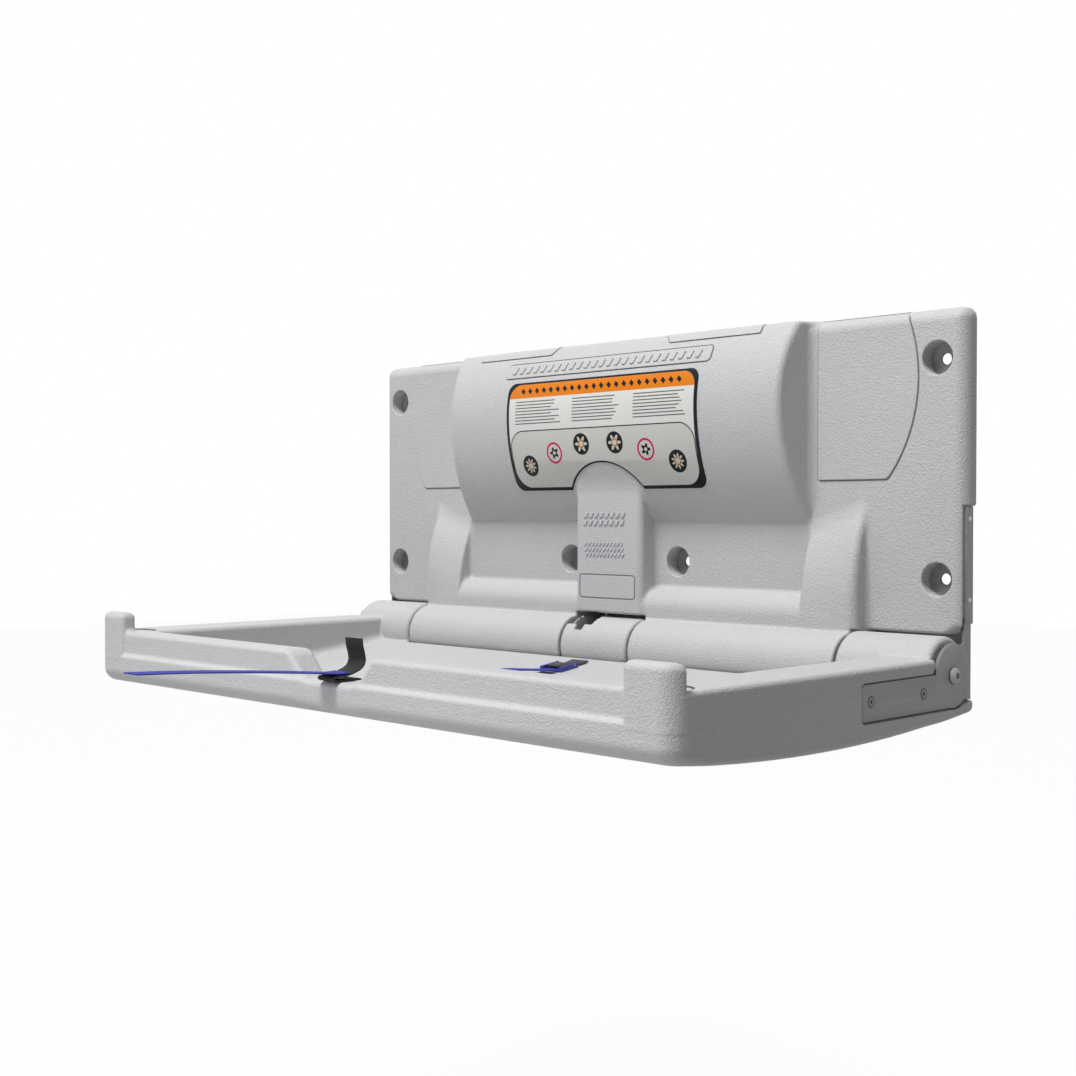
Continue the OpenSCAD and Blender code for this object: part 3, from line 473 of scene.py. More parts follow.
def in_rows(name, form, finish, count, step, lines=1, between=(0, 0, 0), place=(0, 0, 0), tilt=(0, 0, 0)):
    """Copies of a small form in straight rows, laid out by a node tree and kept as one plain mesh."""
    tree = bpy.data.node_groups.new(name + "_layout", "GeometryNodeTree")
    wanted = {"Count": ("Int", count), "Step": ("Vector", step), "Lines": ("Int", lines),
              "Between": ("Vector", between), "Place": ("Vector", place), "Tilt": ("Rotation", tilt)}
    form_in = tree.interface.new_socket("Form", in_out="INPUT", socket_type="NodeSocketGeometry")
    keys = {label: tree.interface.new_socket(label, in_out="INPUT", socket_type="NodeSocket" + kind).identifier
            for label, (kind, value) in wanted.items()}
    tree.interface.new_socket("Rows", in_out="OUTPUT", socket_type="NodeSocketGeometry")
    given, result = tree.nodes.new("NodeGroupInput"), tree.nodes.new("NodeGroupOutput")

    def node(kind, **links):
        made = tree.nodes.new("GeometryNode" + kind)
        for socket, source in links.items():
            tree.links.new(source, made.inputs[socket.replace("_", " ")])
        return made

    row = node("MeshLine", Count=given.outputs["Count"], Offset=given.outputs["Step"])
    stack = node("MeshLine", Count=given.outputs["Lines"], Offset=given.outputs["Between"])
    points = node("RealizeInstances", Geometry=node("InstanceOnPoints", Points=stack.outputs[0],
                                                    Instance=row.outputs[0]).outputs[0])
    copies = node("InstanceOnPoints", Points=points.outputs[0], Instance=given.outputs["Form"])
    turned_to = node("Transform", Geometry=copies.outputs[0], Translation=given.outputs["Place"],
                     Rotation=given.outputs["Tilt"])
    joined = node("RealizeInstances", Geometry=turned_to.outputs[0])
    painted = node("SetMaterial", Geometry=joined.outputs[0])
    painted.inputs["Material"].default_value = finish
    tree.links.new(painted.outputs[0], result.inputs[0])
    piece = bpy.data.objects.new(name, form)
    bpy.context.scene.collection.objects.link(piece)
    layout = piece.modifiers.new("layout", "NODES")
    layout.node_group = tree
    for label, (kind, value) in wanted.items():
        layout[keys[label]] = value
    made = bpy.data.meshes.new_from_object(piece.evaluated_get(bpy.context.evaluated_depsgraph_get()))
    piece.modifiers.remove(layout)
    piece.data = made
    made.name = name
    return piece


for name, form, count, step, lines, between, place, lean in (
        ("bar_relief", lozenge(5.2, 8.6, 1.3, 1.5), 25, (0.0118, 0, 0), 1, (0, 0, 0),
         (-0.1416, -0.0561, 0.2353), -24.2),
        ("pillar_relief_upper", lozenge(4.6, 5.4, 1.3, 1.2), 8, (0.0082, 0, 0), 2, (0.0012, 0, 0.0088),
         (-0.0335, -0.0485, 0.0535), 0),
        ("pillar_relief_lower", lozenge(2.9, 3.6, 1.1, 0.8), 11, (0.0056, 0, 0), 3, (-0.0008, 0, 0.0062),
         (-0.0312, -0.0485, 0.0168), 0)):
    rows = in_rows(name, form, raised_grey, count, step, lines, between, place, (math.radians(lean), 0, 0))
    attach(rows, "wall_unit")


# Tray moulding: the shallow bed, one grey polyethylene shell with a rim, two corner posts, a finger notch
# in the front and three knuckles at the back that turn on the hinge rod.
TRAY_FRONT, FLOOR_Z, RIM_TOP, BELLY_Y, BELLY_Z, BELLY_R = -447.5, -98, -71.5, -233, 1857.6, 1997.2
BED_HALF, BED_FRONT, BED_Y, BED_Z, BED_R = 378, -411, -300, 1154.5, 1275
POST_INNER, POST_BACK, POST_TOP = 384, -429.1, -49.5
DISC_X, DISC_Y, DISC_R, DISC_FLOOR = 402.6, -428, 30, -72.9
NOTCH_HALF, NOTCH_BACK = 42, -404
MIDDLE_R, MIDDLE_HALF, END_R, END_MIDDLE, END_HALF = 34.5, 50.5, 36.5, 377.85, 51.85
ARM_REAR, ARM_FRONT, ARM_LOW, ARM_HIGH, ARM_CORNER, ARM_HEAD = -40, -194.6, -119.6, -85.4, 3.4, 31.1
ARM_FLOOR, BUSH_R = 433.4, 7.4


def tray_moulding(x, y, z):
    a = np.abs(x)
    hinge = np.hypot(y - HINGE_Y, z - HINGE_Z)
    plan = rounded(x, y, -HALF_WIDTH, HALF_WIDTH, TRAY_FRONT, 60, 20)
    belly = np.hypot(y - BELLY_Y, z - BELLY_Z) - BELLY_R
    body = meet(plan, belly, 14 - 5 * ramp(y, -440, -390) - 3 * ramp(y, -90, -50))
    body = cut(body, meet(y + 443, FLOOR_Z - z, 4), 3)
    body = meet(body, z - RIM_TOP, 5)
    heel = np.maximum(y + 1.8, np.minimum(z - HINGE_Z, y - HINGE_Y))
    body = meet(body, heel, 0.4 + 7 * ramp(-z, 108, 113))
    basin = rounded(x, y, -BED_HALF, BED_HALF, BED_FRONT, 80, 20)
    body = cut(body, meet(np.hypot(y - BED_Y, z - BED_Z) - BED_R, basin, 11), 5.5)
    # Corner posts
    post = meet(meet(plan, POST_INNER - a, 6), y - POST_BACK, 5)
    post = np.maximum(meet(post, z - POST_TOP, 7.5), -104 - z)
    body = join(body, post, 0.3 + 6 * ramp(-plan, 0.5, 8))
    disc = np.maximum(np.hypot(a - DISC_X, y - DISC_Y) - DISC_R, DISC_FLOOR - z)
    body = cut(body, np.maximum(disc, -428.6 - y), 0.5)
    # Finger notch and the hollow under it
    notch = meet((a - NOTCH_HALF - (z - FLOOR_Z) * 0.9057) / 1.349, FLOOR_Z - z, 5)
    body = cut(body, np.maximum(notch, y - NOTCH_BACK), 7)
    hollow = meet(np.hypot(x, y + 577.8) - 136.3, -131 - z, 6)
    body = cut(body, np.maximum(hollow, z + 97), 7)
    # Sweep of the wall unit's barrels, then the knuckles
    body = cut(body, np.maximum(a + END_HALF - END_MIDDLE, np.minimum(hinge - SWEEP_R, HINGE_Y - y)), 2)
    middle = np.maximum(np.maximum(np.abs(y + 59.25) - 19.25, z + 106), -124.4 - z)
    body = join(body, meet(np.minimum(hinge - MIDDLE_R, middle), a - MIDDLE_HALF, 3.5), 1.5)
    body = join(body, meet(hinge - END_R, np.abs(a - END_MIDDLE) - END_HALF, 6), 3)
    # Pocket for the strut, open to the back, with a lowered lip in front and a thin rib on its left
    body = cut(body, np.maximum(np.abs(x - STRUT_X) - STRUT_ROOM, -57.25 - y), 0.8)
    lip = np.maximum(np.maximum(np.abs(x + 31) - 20, 0.035 * (x + 30) - 63.2 - z), -78 - y)
    body = cut(body, np.maximum(lip, 0.7 - np.abs(x + 39.4)), 0.5)
    body = cut(body, np.maximum(np.maximum(np.abs(x + 24.8) - 13.6, -61.2 - y), -88 - z), 0.4)
    body = cut(body, np.maximum(np.maximum(np.abs(x + 46) - 5.6, -59 - y), -76 - z), 0.4)
    body = np.maximum(body, -np.maximum(np.maximum(np.abs(x + 28) - 5.5, -74.5 - y), -70 - z))
    # Recesses of the hinge plates, room for the brackets' ears, seats of the bushes, bore of the rod
    arm = rounded(y, z, ARM_FRONT, ARM_REAR, ARM_LOW, ARM_HIGH, ARM_CORNER)
    body = cut(body, np.maximum(np.minimum(arm, hinge - ARM_HEAD), ARM_FLOOR - a), 0.5)
    behind = np.maximum(HINGE_Y - y, 0.119 * (y - HINGE_Y) - 120 - z)
    ear = np.minimum(np.maximum(hinge - SWEEP_R, -100 - z), behind)
    body = cut(body, np.maximum(EAR_X - a, np.minimum(ear, hinge - 32)), 0.8)
    return np.maximum(body, BUSH_R - hinge)


def tray_shade_lines(x, y, z):
    """Thin lines of painted shade round the disc recess on each end of the front rim and in the gap round the hinge
    plates; they also sink the bump.
    """
    x, y, z = x * 1000, y * 1000, z * 1000
    disc = (reach(x.size() - DISC_X, y - DISC_Y) - DISC_R).size().step(1.1, 0.3)
    disc = disc * (y + 428.6).step(0, 0.5) * (z + 76.5).step(0, 1)
    arm = rim(y - (ARM_REAR + ARM_FRONT) / 2, z - (ARM_LOW + ARM_HIGH) / 2,
              (ARM_REAR - ARM_FRONT) / 2, (ARM_HIGH - ARM_LOW) / 2, ARM_CORNER)
    arm = arm.least(reach(y - HINGE_Y, z - HINGE_Z) - ARM_HEAD)
    return disc.most(arm.step(1.5, 0.6) * arm.step(-3, -1) * (x.size() - 434).step(0, 1))


tray = moulding("tray_moulding", tray_moulding,
                grid_lines(-440, 440, 8, on_both_sides((12, 18, 2.2), (36, 80, 2), (322, 330, 2), (366, 430, 1.9),
                           (430, 440, 1.2))),
                grid_lines(-449, 0, 8, [(-449, -396, 1.9), (-82, 0, 2)]),
                grid_lines(-140, -48, 4, [(-140, -76, 2.2), (-76, -70, 0.9), (-70, -48, 2)]))
tray.data.materials.append(pebbled("Tray polyethylene", GREY, tray_shade_lines, 0.82))
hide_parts("tray_shell")
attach(tray, "tray")


# Backing plate, side brackets and crank: galvanised sheet, cut and folded. Their edges are eased, and the
# zinc shows its faint spangle.
steelwork = frame["nodes"]
home = {n: b for b, nodes in frame["record"]["behaviour"]["bodies"].items() for n in nodes}


def settled(piece, name):
    """The piece stands for the CAD piece of this name, and moves with it."""
    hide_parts(name)
    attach(piece, home[name])


def eased(name, material, width=0.35, change=None):
    """A copy of a CAD piece with merged faces and softened edges, standing for the piece."""
    piece = bpy.data.objects.new(name + "_finished", steelwork[name].data.copy())
    bpy.context.scene.collection.objects.link(piece)
    bm = bmesh.new()
    bm.from_mesh(piece.data)
    bmesh.ops.remove_doubles(bm, verts=bm.verts, dist=2e-6)
    bmesh.ops.dissolve_limit(bm, angle_limit=math.radians(1), verts=bm.verts, edges=bm.edges)
    if change:
        change(bm)
    bm.to_mesh(piece.data)
    bm.free()
    soft = piece.modifiers.new("eased", "BEVEL")
    soft.width, soft.segments, soft.limit_method, soft.angle_limit = width / 1000, 2, "ANGLE", math.radians(35)
    made = bpy.data.meshes.new_from_object(piece.evaluated_get(bpy.context.evaluated_depsgraph_get()))
    piece.modifiers.clear()
    piece.data = made
    made.name = piece.name
    made.materials.clear()
    made.materials.append(material)
    made.polygons.foreach_set("use_smooth", np.ones(len(made.polygons), bool))
    made.set_sharp_from_angle(angle=math.radians(38))
    settled(piece, name)


def galvanised():
    f = Finish("Galvanised sheet", (0.24, 0.24, 0.245), 0.5, 0.8)
    point = f.place()[1]
    spangle = f.add("ShaderNodeTexVoronoi", {}, Vector=point, Scale=170.0, out="Color")
    grey = f.add("ShaderNodeSeparateColor", {}, spangle)
    dull = f.noise(point, 60, 4.0, 0.6)
    f.feed("Base Color", f.mix(grey * 0.4 + dull * 0.5, (0.16, 0.16, 0.163), (0.27, 0.27, 0.275)))
    f.feed("Roughness", grey * 0.14 + dull * 0.2 + 0.36)
    f.bump(dull + grey * 0.2, 0.00012, 0.4)
    return f.material


def round_low_corners(bm, reach_in=0.016):
    """Takes the plate's two lower corners off, so that they stay above the tray's heel."""
    for v in bm.verts:
        if v.co.z < -0.118 and abs(v.co.x) > 0.42:
            v.co.x -= math.copysign(reach_in, v.co.x)


def long_ear(bm):
    """Brings the ear's rear corner down to the tray's heel."""
    for v in bm.verts:
        if v.co.z < -0.1 and v.co.y > -0.003:
            v.co.z = -0.1152


sheet_steel = galvanised()
eased("back_plate", sheet_steel, change=round_low_corners)
for name, change in (("bracket_left", long_ear), ("bracket_right", long_ear), ("strut_bracket", None),
                     ("crank_plate", None), ("strut_eye", None)):
    eased(name, sheet_steel, change=change)


# Hinge plates: flat steel, blasted and lacquered in the grey of the moulding that they are sunk in. The
# hinge rod's pivot screws are blasted like them, and the screws through the plates are lacquered too.
def lacquered():
    """Grey lacquer with painted shade: a dark ring round each screw's head and in its socket, and a darkened edge all
    round where the plate's edge catches the light.
    """
    f = Finish("Lacquered hinge plate", (0.42, 0.42, 0.42), 0.6, 0.1, Specular_IOR_Level=0.3)
    (x, y, z), point = f.place()
    fine = f.noise(point, 900, 2.0, 0.6)
    broad = f.noise(point, 30, 3.0, 0.6)
    ring = reach(y + 0.092, z + 0.1018).least(reach(y + 0.1785, z + 0.1018))
    head_shade, socket = (ring - 0.0049).size().step(0.0008, 0.0003), (ring - 0.0029).size().step(0.0007, 0.0002)
    # dark is painted shade: round each screw's head, in its socket, and on the plate's lit edge.
    dark = head_shade.most(socket * 0.6).most(x.size().step(0.4363, 0.4360) * 0.75)
    grey = f.mix(fine * 0.6 + broad * 0.4, (0.38, 0.38, 0.38), (0.50, 0.50, 0.503))
    f.feed("Base Color", f.mix(dark * 0.85, grey, (0.03, 0.03, 0.03)))
    f.feed("Roughness", fine * 0.2 + broad * 0.1 + 0.5)
    f.bump(fine, 0.0002, 0.5)
    return f.material


def plated(name="Zinc plating", dark=(0.34, 0.34, 0.34), light=(0.52, 0.52, 0.53), metal=1.0):
    f = Finish(name, light, 0.3, metal)
    point = f.place()[1]
    haze = f.noise(point, 220, 3.0, 0.6)
    f.feed("Base Color", f.mix(haze, dark, light))
    f.feed("Roughness", haze * 0.22 + (0.24 if metal == 1 else 0.45))
    f.bump(haze, 0.00005, 0.4)
    return f.material


plate_grey = lacquered()
blasted = plated("Blasted steel", (0.34, 0.34, 0.34), (0.46, 0.46, 0.465), 0.25)
for name in ("hinge_plate_left", "hinge_plate_right"):
    eased(name, plate_grey, 0.15)


# Hinge rod, pins, rivets and plain screws: steel, turned or cold headed, and bright zinc plated. The rod
# runs from ear to ear of the side brackets, and the rivets hold those to the moulding.
zinc = plated()
for name in ("plate_screws", "bracket_screws", "hinge_rod", "pivot_washers", "strut_top_pin", "strut_gland",
             "strut_rod", "strut_pin", "crank_screws", "webbing_anchor", "buckle_pin"):
    eased(name, zinc, 0.25)


# Screws that close the hinge rod's ends and hold the hinge plates: cold-headed steel with a rolled dome and
# a hexagon socket. The two pivot screws stand clear of the side, the four arm screws are nearly flush.
def headed(name, profile, centres, finish, around=48):
    """Screws turned about the x axis on both sides. The profile gives x, radius, and 1 where it is a hexagon."""
    turn = np.linspace(0, 2 * math.pi, around, endpoint=False)
    flat = 1 / np.cos((turn + math.pi / 6) % (math.pi / 3) - math.pi / 6)
    points, faces = [], []
    for side in (1, -1):
        for y, z in centres:
            start = len(points)
            for x, r, hexagon in profile:
                radius = r * (flat if hexagon else np.ones(around))
                points += [(side * x / 1000, (y + q * math.cos(t)) / 1000, (z + q * math.sin(t)) / 1000)
                           for q, t in zip(radius, turn)]
            order = 1 if side > 0 else -1
            for k in range(len(profile) - 1):
                for i in range(around):
                    j = (i + 1) % around
                    faces.append([start + k * around + i, start + k * around + j, start + (k + 1) * around + j,
                                  start + (k + 1) * around + i][::order])
            faces.append(list(range(start, start + around))[::-order])
            faces.append(list(range(start + (len(profile) - 1) * around, start + len(profile) * around))[::order])
    mesh = bpy.data.meshes.new(name + "_headed")
    mesh.from_pydata(points, [], faces)
    piece = bpy.data.objects.new(name + "_headed", mesh)
    bpy.context.scene.collection.objects.link(piece)
    bm = bmesh.new()
    bm.from_mesh(mesh)
    bmesh.ops.recalc_face_normals(bm, faces=bm.faces)
    bm.to_mesh(mesh)
    bm.free()
    mesh.materials.append(finish)
    mesh.polygons.foreach_set("use_smooth", np.ones(len(mesh.polygons), bool))
    mesh.set_sharp_from_angle(angle=math.radians(40))
    settled(piece, name)


headed("pivot_screws", [(413, 2.6, 0), (414, 3, 0), (437.4, 3, 0), (437.5, 7.8, 0), (437.7, 8, 0), (438.4, 7.9, 0),
                        (439.4, 7.4, 0), (440.3, 6.5, 0), (441.0, 5.4, 0), (441.5, 4.2, 0), (441.6, 3.4, 0),
                        (441.3, 2.75, 1), (438.9, 2.6, 1), (438.5, 1.2, 1)], [(HINGE_Y, HINGE_Z)], blasted)
headed("arm_screws", [(421.8, 2.1, 0), (422.4, 2.4, 0), (433.6, 2.4, 0), (433.7, 4.9, 0), (435.9, 5, 0),
                      (436.5, 4.8, 0), (436.75, 4.3, 0), (436.85, 3.0, 0), (436.7, 2.0, 0), (436.5, 1.55, 1),
                      (435.0, 1.5, 1), (434.8, 0.7, 1)], [(-92, -101.8), (-178.5, -101.8)], plate_grey)


# Gas strut's cylinder: a drawn steel tube in baked black enamel. It hangs from its clevis inside the pillar
# and slows the tray on its way down.
def enamel():
    f = Finish("Black enamel", (0.022, 0.022, 0.025), 0.3, 0.0)
    point = f.place()[1]
    f.feed("Roughness", f.noise(point, 300, 3.0) * 0.2 + 0.2)
    return f.material


eased("strut_cylinder", enamel(), 0.5)


# Threaded inserts of turned brass, moulded into the tray's sides for the arm screws, and the nylon bushes
# in its knuckles, in which the hinge rod runs.
def turned_brass():
    f = Finish("Turned brass", (0.70, 0.50, 0.21), 0.3, 1.0)
    x = f.place()[0][0]
    f.feed("Roughness", (x * 9000).wave() * 0.08 + 0.3)
    return f.material


def nylon():
    f = Finish("Natural nylon", (0.78, 0.76, 0.68), 0.4)
    point = f.place()[1]
    f.feed("Roughness", f.noise(point, 200, 2.0) * 0.2 + 0.3)
    return f.material


eased("arm_inserts", turned_brass(), 0.2)
eased("hinge_bushes", nylon(), 0.3)


# Information label: a printed film bonded to the roll. It carries no words: a dark border, an orange band
# with lozenges, a white field with ruled blocks and a pale field with round motifs.
def printed_film():
    f = Finish("Printed film", (0.7, 0.7, 0.68), 0.45, Specular_IOR_Level=0.14)
    (x, _, z), point = f.place()
    x, z = x * 1000, z * 1000
    a = x.size()
    black, white, pale = (0.008, 0.008, 0.009), (0.66, 0.66, 0.64), (0.56, 0.56, 0.53)
    orange, rose, amber = (0.66, 0.19, 0.012), (0.56, 0.015, 0.08), (0.45, 0.20, 0.05)

    def within(distance, soft=0.25):
        return distance.step(soft, -soft)

    def striped(value, pitch, share):
        return (value / pitch).maths("FRACT", value / pitch).step(share + 0.06, share - 0.06)

    field = rim(x, z - 159, 142.8, 58.5, 17)
    lower = rim(x, z - 128.4, 142.8, 34.6, 22)
    tone = f.mix(within(field) * (z - 128).step(-0.3, 0.3), black, white)
    # Orange band with a row of slanted lozenges
    tone = f.mix(within(field) * (z - 201.2).step(-0.25, 0.25), tone, orange)
    along = (x + (z - 209) * 0.35) / 11.5
    lozenges = (along.maths("FRACT", along) - 0.5).size() * 11.5 + (z - 209.3).size() * 0.9
    tone = f.mix(within(lozenges - 3.6) * (a - 126).step(1, 0), tone, black)
    # Ruled blocks, their rows of unlike lengths
    line, block = 3.7, 94
    row, column = (z / line).maths("FLOOR", z / line), (x / block).maths("ROUND", x / block)
    spread = f.add("ShaderNodeTexWhiteNoise", {"noise_dimensions": "1D"}, W=row + column * 31)
    from_centre = x - column * block
    ruled = striped(z, line, 0.34) * (from_centre + 38).step(-0.3, 0.3)
    ruled = ruled * (from_centre - 22 - spread * 16).step(0.3, -0.3)
    ruled = ruled * (z - 168.5).step(0, 0.5) * (z - 198.2).step(0.5, 0)
    tone = f.mix(ruled * 0.85, tone, black)
    # Lower field with its outline, and the edge of the arch
    tone = f.mix(within(lower + 0.2), tone, black)
    tone = f.mix(within(lower + 1.5), tone, pale)
    for centre, up, kind in ((26, 144, "rosette"), (71, 135, "ring"), (114, 121, "sun")):
        r, turn = reach(a - centre, z - up), (z - up).maths("ARCTAN2", z - up, a - centre)
        if kind == "ring":
            tone = f.mix(within((r - 11.2).size() - 1.25), tone, rose)
            tone = f.mix(within(r - 5.4 - (turn * 5).maths("COSINE", turn * 5) * 1.6), tone, black)
            tone = f.mix(within(r - 2.2), tone, pale)
        else:
            petals, depth = (6, 3.0) if kind == "rosette" else (9, 2.2)
            tone = f.mix(within(r - 12.4), tone, black)
            tone = f.mix(within(r - 6.6 - (turn * petals).maths("COSINE", turn * petals) * depth), tone, pale)
            tone = f.mix(within((r - 4.0).size() - 0.9), tone, amber)
    tone = f.mix(within(reach(x, (z - PILLAR_ARCH_Z).most(0.0)) - 67.8), tone, black)
    tone = f.mix((z - 93.0).step(0.2, -0.2), tone, black)
    tone = f.mix((a - 145.4).step(-0.2, 0.2), tone, black)
    f.feed("Base Color", tone)
    f.feed("Roughness", f.noise(point, 240, 3.0) * 0.14 + 0.36)
    return f.material


eased("label_plate", printed_film(), 0.2)


# Keeper webbing and safety strap: flat woven polyester. The black keeper is folded once round the front of
# the notch's floor, its layers drawn tight, and its end stands up against the back of the notch.
def through(points, step=1.2):
    """Points a step apart on a smooth curve through the given ones."""
    p = np.array(points, float)
    p = np.vstack([2 * p[0] - p[1], p, 2 * p[-1] - p[-2]])
    out = []
    for i in range(1, len(p) - 2):
        count = max(2, int(np.linalg.norm(p[i + 1] - p[i]) / step))
        for t in np.arange(count) / count:
            slant = p[i + 1] - p[i - 1]
            bend = 2 * p[i - 1] - 5 * p[i] + 4 * p[i + 1] - p[i + 2]
            twist = 3 * p[i] - p[i - 1] - 3 * p[i + 1] + p[i + 2]
            out.append(0.5 * (2 * p[i] + slant * t + bend * t ** 2 + twist * t ** 3))
    return np.array(out + [p[-2]])


def ribbon(name, points, wide, thick, finish):
    """A woven band along a path of (y, z) points, with rounded edges and its weave laid along it."""
    path = through(points)
    ahead = np.gradient(path, axis=0)
    ahead /= np.linalg.norm(ahead, axis=1)[:, None]
    up = np.stack([-ahead[:, 1], ahead[:, 0]], 1)
    half, r = wide / 2, thick / 2
    across = np.linspace(r - half, half - r, 7)
    edge = np.linspace(-math.pi / 2, math.pi / 2, 5)[1:-1]
    section = ([(u, -r) for u in across] + [(half - r + r * math.cos(t), r * math.sin(t)) for t in edge]
               + [(u, r) for u in across[::-1]] + [(r - half - r * math.cos(t), -r * math.sin(t)) for t in edge])
    n = len(section)
    far = np.concatenate([[0], np.cumsum(np.linalg.norm(np.diff(path, axis=0), axis=1))])
    verts = [(u / 1000, (p[0] + h * v) / 1000, (p[1] + k * v) / 1000)
             for p, (h, k) in zip(path, up) for u, v in section]
    faces = [(i * n + j, i * n + (j + 1) % n, (i + 1) * n + (j + 1) % n, (i + 1) * n + j)
             for i in range(len(path) - 1) for j in range(n)]
    faces += [tuple(range(n))[::-1], tuple(range((len(path) - 1) * n, len(path) * n))]
    mesh = bpy.data.meshes.new(name + "_woven")
    mesh.from_pydata(verts, [], faces)
    laid = mesh.uv_layers.new(name="weave")
    run = np.empty(len(mesh.loops), np.int32)
    mesh.loops.foreach_get("vertex_index", run)
    laid.data.foreach_set("uv", np.stack([np.array([section[k % n][0] for k in run]) / 1000,
                                          far[run // n] / 1000], 1).ravel())
    bm = bmesh.new()
    bm.from_mesh(mesh)
    bmesh.ops.recalc_face_normals(bm, faces=bm.faces)
    bm.to_mesh(mesh)
    bm.free()
    mesh.materials.append(finish)
    mesh.polygons.foreach_set("use_smooth", np.ones(len(mesh.polygons), bool))
    mesh.set_sharp_from_angle(angle=math.radians(60))
    piece = bpy.data.objects.new(mesh.name, mesh)
    bpy.context.scene.collection.objects.link(piece)
    settled(piece, name)


def woven(name, dark, light, wide):
    """Twilled webbing: fine slanted ribs that turn back in the middle, and a tight edge on each side."""
    f = Finish(name, light, 0.75, Specular_IOR_Level=0.25)
    u, v = [part * 1000 for part in f.place("UV")[0][:2]]
    rib = ((v + u.size() * 0.8) * 4.6).wave()
    ends = (u * 9.0).wave() * 0.35
    edge = (u.size() - (wide / 2 - 1.6)).step(-0.2, 0.2)
    weave = (rib + ends) * (1 - edge) + (v * 5.4).wave() * edge
    fuzz = f.noise(f.place()[1], 1400, 2.0, 0.6)
    f.feed("Base Color", f.mix((weave * 0.3 + 0.5).most(0.0).least(1.0) * 0.8 + fuzz * 0.2, dark, light))
    f.feed("Roughness", fuzz * 0.2 + 0.62)
    f.bump(weave * 0.5 + fuzz * 0.6, 0.00025, 0.7)
    return f.material


def from_floor(points):
    """Path points given from the front edge of the notch's floor."""
    return [(TRAY_FRONT + y, FLOOR_Z + z) for y, z in points]


def on_bed(y):
    """Height of the bed's hollow in the middle, y from the wall."""
    return BED_Z - math.sqrt(BED_R ** 2 - (y - BED_Y) ** 2)


KEEPER_WIDE, KEEPER_THICK, STRAP_WIDE, STRAP_THICK = 27, 1.8, 25, 1.2
black_web = woven("Black webbing", (0.006, 0.006, 0.007), (0.030, 0.031, 0.034), KEEPER_WIDE)
blue_web = woven("Blue webbing", (0.020, 0.026, 0.19), (0.050, 0.062, 0.40), STRAP_WIDE)
fold = [(35.5, 1.3), (20, 1.3), (8, 1.3), (4.4, 1.9), (3.3, 3.3), (4.4, 4.7), (8, 5.2), (20, 6.4), (30, 9.2),
        (37, 12.8), (40.2, 18.5), (39.4, 26), (37.4, 33), (36.6, 40.5)]
ribbon("keeper_webbing", from_floor(fold), KEEPER_WIDE, KEEPER_THICK, black_web)
# The strap lies on the bed from the notch, and rises in a low arch before the buckle
arch = [(-142, 1.6), (-158, 4.6), (-175, 7.9), (-192, 10.9), (-210, 12.6), (-226, 12.4), (-240, 10.2), (-252, 7.2),
        (-264, 4.2), (-278, 1.7), (-294, 0.3), (-318, 0), (-346, 0), (-374, 0)]
ribbon("bed_strap", [(y, on_bed(y) + rise + 0.9) for y, rise in arch]
       + [(-386, -114.8), (-395, -110.6), (-400.5, -104.4)], STRAP_WIDE, STRAP_THICK, blue_web)
tail = [(22, 8.5), (12, 8.1), (0, 9.0), (-42.5, 12.9), (-93.5, 17), (-152.5, 21), (-204.5, 23.4)]
ribbon("strap_tail", from_floor(tail), STRAP_WIDE, STRAP_THICK, blue_web)


# Lock stitches of the keeper's fold: pale grey bonded thread, sewn through both layers in three short runs
# across the band.
thread = Finish("Bonded thread", (0.16, 0.16, 0.17), 0.6)
twist = thread.noise(thread.place()[1], 2600, 1.0)
thread.feed("Base Color", thread.mix(twist, (0.10, 0.10, 0.11), (0.24, 0.24, 0.25)))


def stitch():
    """One stitch lying flat along x, its ends sunk in the weave."""
    mesh = bpy.data.meshes.new("stitch")
    rings = [(-0.95, 0.05, -0.25), (-0.6, 0.22, 0.05), (0.6, 0.22, 0.05), (0.95, 0.05, -0.25)]
    verts = [(x / 1000, r * math.cos(t) / 1000, (h + r * math.sin(t)) / 1000)
             for x, r, h in rings for t in np.linspace(0, 2 * math.pi, 6, endpoint=False)]
    faces = [(k * 6 + i, k * 6 + (i + 1) % 6, k * 6 + 6 + (i + 1) % 6, k * 6 + 6 + i)[::-1]
             for k in range(3) for i in range(6)] + [tuple(range(6)), tuple(range(18, 24))[::-1]]
    mesh.from_pydata(verts, [], faces)
    mesh.polygons.foreach_set("use_smooth", np.ones(len(mesh.polygons), bool))
    return mesh


seam = in_rows("keeper_stitches", stitch(), thread.material, 9, (0.0026, 0, 0), 3, (0, 0.004, 0.0002),
               (-0.0104, -0.4375, -0.0918))
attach(seam, "tray")


# Cam buckle of the strap: a blue acetal channel, a black lever with ridges under the thumb, and a stiff tab.
# The lever turns on the buckle's pin and clamps the webbing against the channel's floor.
def acetal(name, dark, light):
    f = Finish(name, light, 0.36, Specular_IOR_Level=0.5)
    point = f.place()[1]
    flow = f.noise(point, 60, 3.0)
    fine = f.noise(point, 1100, 2.0, 0.6)
    f.feed("Base Color", f.mix(flow * 0.7 + fine * 0.3, dark, light))
    f.feed("Roughness", fine * 0.2 + flow * 0.1 + 0.26)
    f.bump(fine, 0.0001, 0.4)
    return f.material


eased("buckle_body", acetal("Blue acetal", (0.022, 0.030, 0.24), (0.045, 0.06, 0.40)), 0.8)
black_acetal = acetal("Black acetal", (0.014, 0.014, 0.016), (0.03, 0.03, 0.034))
eased("buckle_lever", black_acetal, 0.5)
eased("buckle_tab", black_acetal, 0.4)


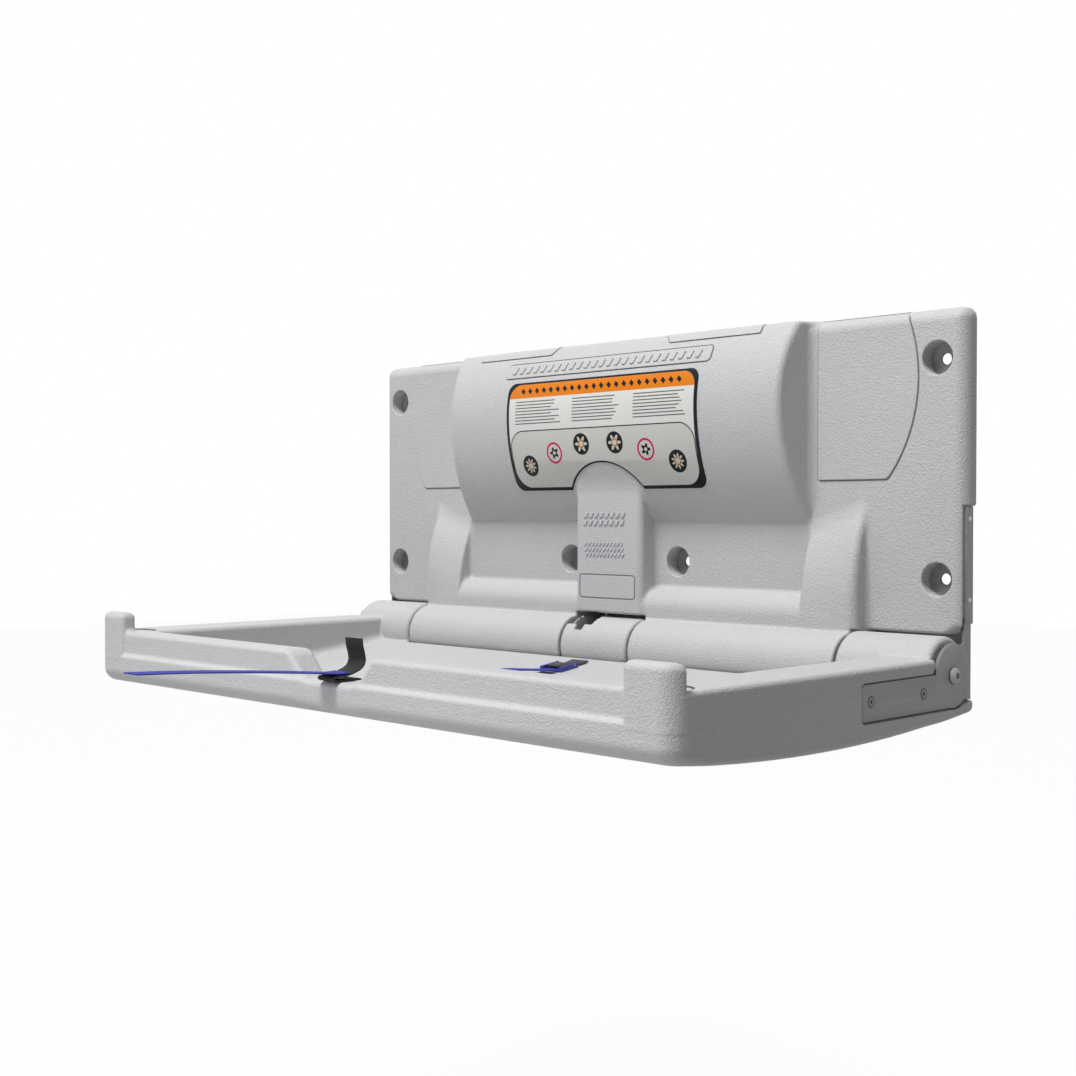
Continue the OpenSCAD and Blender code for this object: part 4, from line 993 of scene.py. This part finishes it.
# Floor, backdrop, lamps and camera. They aren't part of the object. The floor and the world show white to
# the camera, and light the object at a plain level.
floor_mesh = bpy.data.meshes.new("floor")
floor_mesh.from_pydata([(-9, -9, -0.75), (9, -9, -0.75), (9, 9, -0.75), (-9, 9, -0.75)], [], [(0, 1, 2, 3)])
floor = bpy.data.objects.new("floor", floor_mesh)
bpy.context.scene.collection.objects.link(floor)
pale = Finish("Pale floor", (0.24, 0.24, 0.24), 0.9)
seen = pale.add("ShaderNodeLightPath", {}, out="Is Camera Ray")
paths = seen.socket.node.outputs
for kind in ("Is Glossy Ray", "Is Transmission Ray"):
    seen = seen.most(Signal(pale, paths[kind]))
glow = pale.add("ShaderNodeEmission", {}, (1, 1, 1, 1), 1.07)
both = pale.add("ShaderNodeMixShader", {}, seen * 0.9)
pale.tree.links.new(pale.face.outputs[0], both.socket.node.inputs[1])
pale.tree.links.new(glow.socket, both.socket.node.inputs[2])
pale.tree.links.new(both.socket, pale.tree.nodes["Material Output"].inputs[0])
floor_mesh.materials.append(pale.material)

world = bpy.data.worlds.new("Studio")
bpy.context.scene.world = world
world.use_nodes = True
sky = world.node_tree
back = sky.nodes["Background"]
back.inputs["Color"].default_value = (1, 1, 1, 1)
rays = sky.nodes.new("ShaderNodeLightPath")
lit = rays.outputs["Is Camera Ray"]
for kind in ("Is Glossy Ray", "Is Transmission Ray"):
    most = sky.nodes.new("ShaderNodeMath")
    most.operation = "MAXIMUM"
    sky.links.new(lit, most.inputs[0])
    sky.links.new(rays.outputs[kind], most.inputs[1])
    lit = most.outputs[0]
level = sky.nodes.new("ShaderNodeMapRange")
level.inputs["To Min"].default_value = 0.28
level.inputs["To Max"].default_value = 1.0
sky.links.new(lit, level.inputs["Value"])
sky.links.new(level.outputs[0], back.inputs["Strength"])


def lamp(name, place, aim, size, power):
    data = bpy.data.lights.new(name, "AREA")
    data.shape, data.size, data.size_y, data.energy = "RECTANGLE", size, size, power
    o = bpy.data.objects.new(name, data)
    o.location = place
    o.rotation_euler = (Vector(aim) - Vector(place)).to_track_quat("-Z", "Y").to_euler()
    bpy.context.scene.collection.objects.link(o)


lamp("key", (-0.1, -2.2, 4.2), (0, -0.25, 0), 1.5, 246)
lamp("low", (0.0, -1.55, -0.62), (0, -0.35, -0.1), 0.8, 7.5)

# The camera stands where the photograph was taken from
camera = bpy.data.objects.new("camera", bpy.data.cameras.new("camera"))
bpy.context.scene.collection.objects.link(camera)
camera.location = (1.16223, -1.30369, 0.06235)
camera.rotation_euler = (math.radians(89.118), 0, 0.793)
camera.data.lens = 49.955
camera.data.sensor_width = 36
bpy.context.scene.camera = camera
bpy.context.scene.view_settings.view_transform = "Standard"
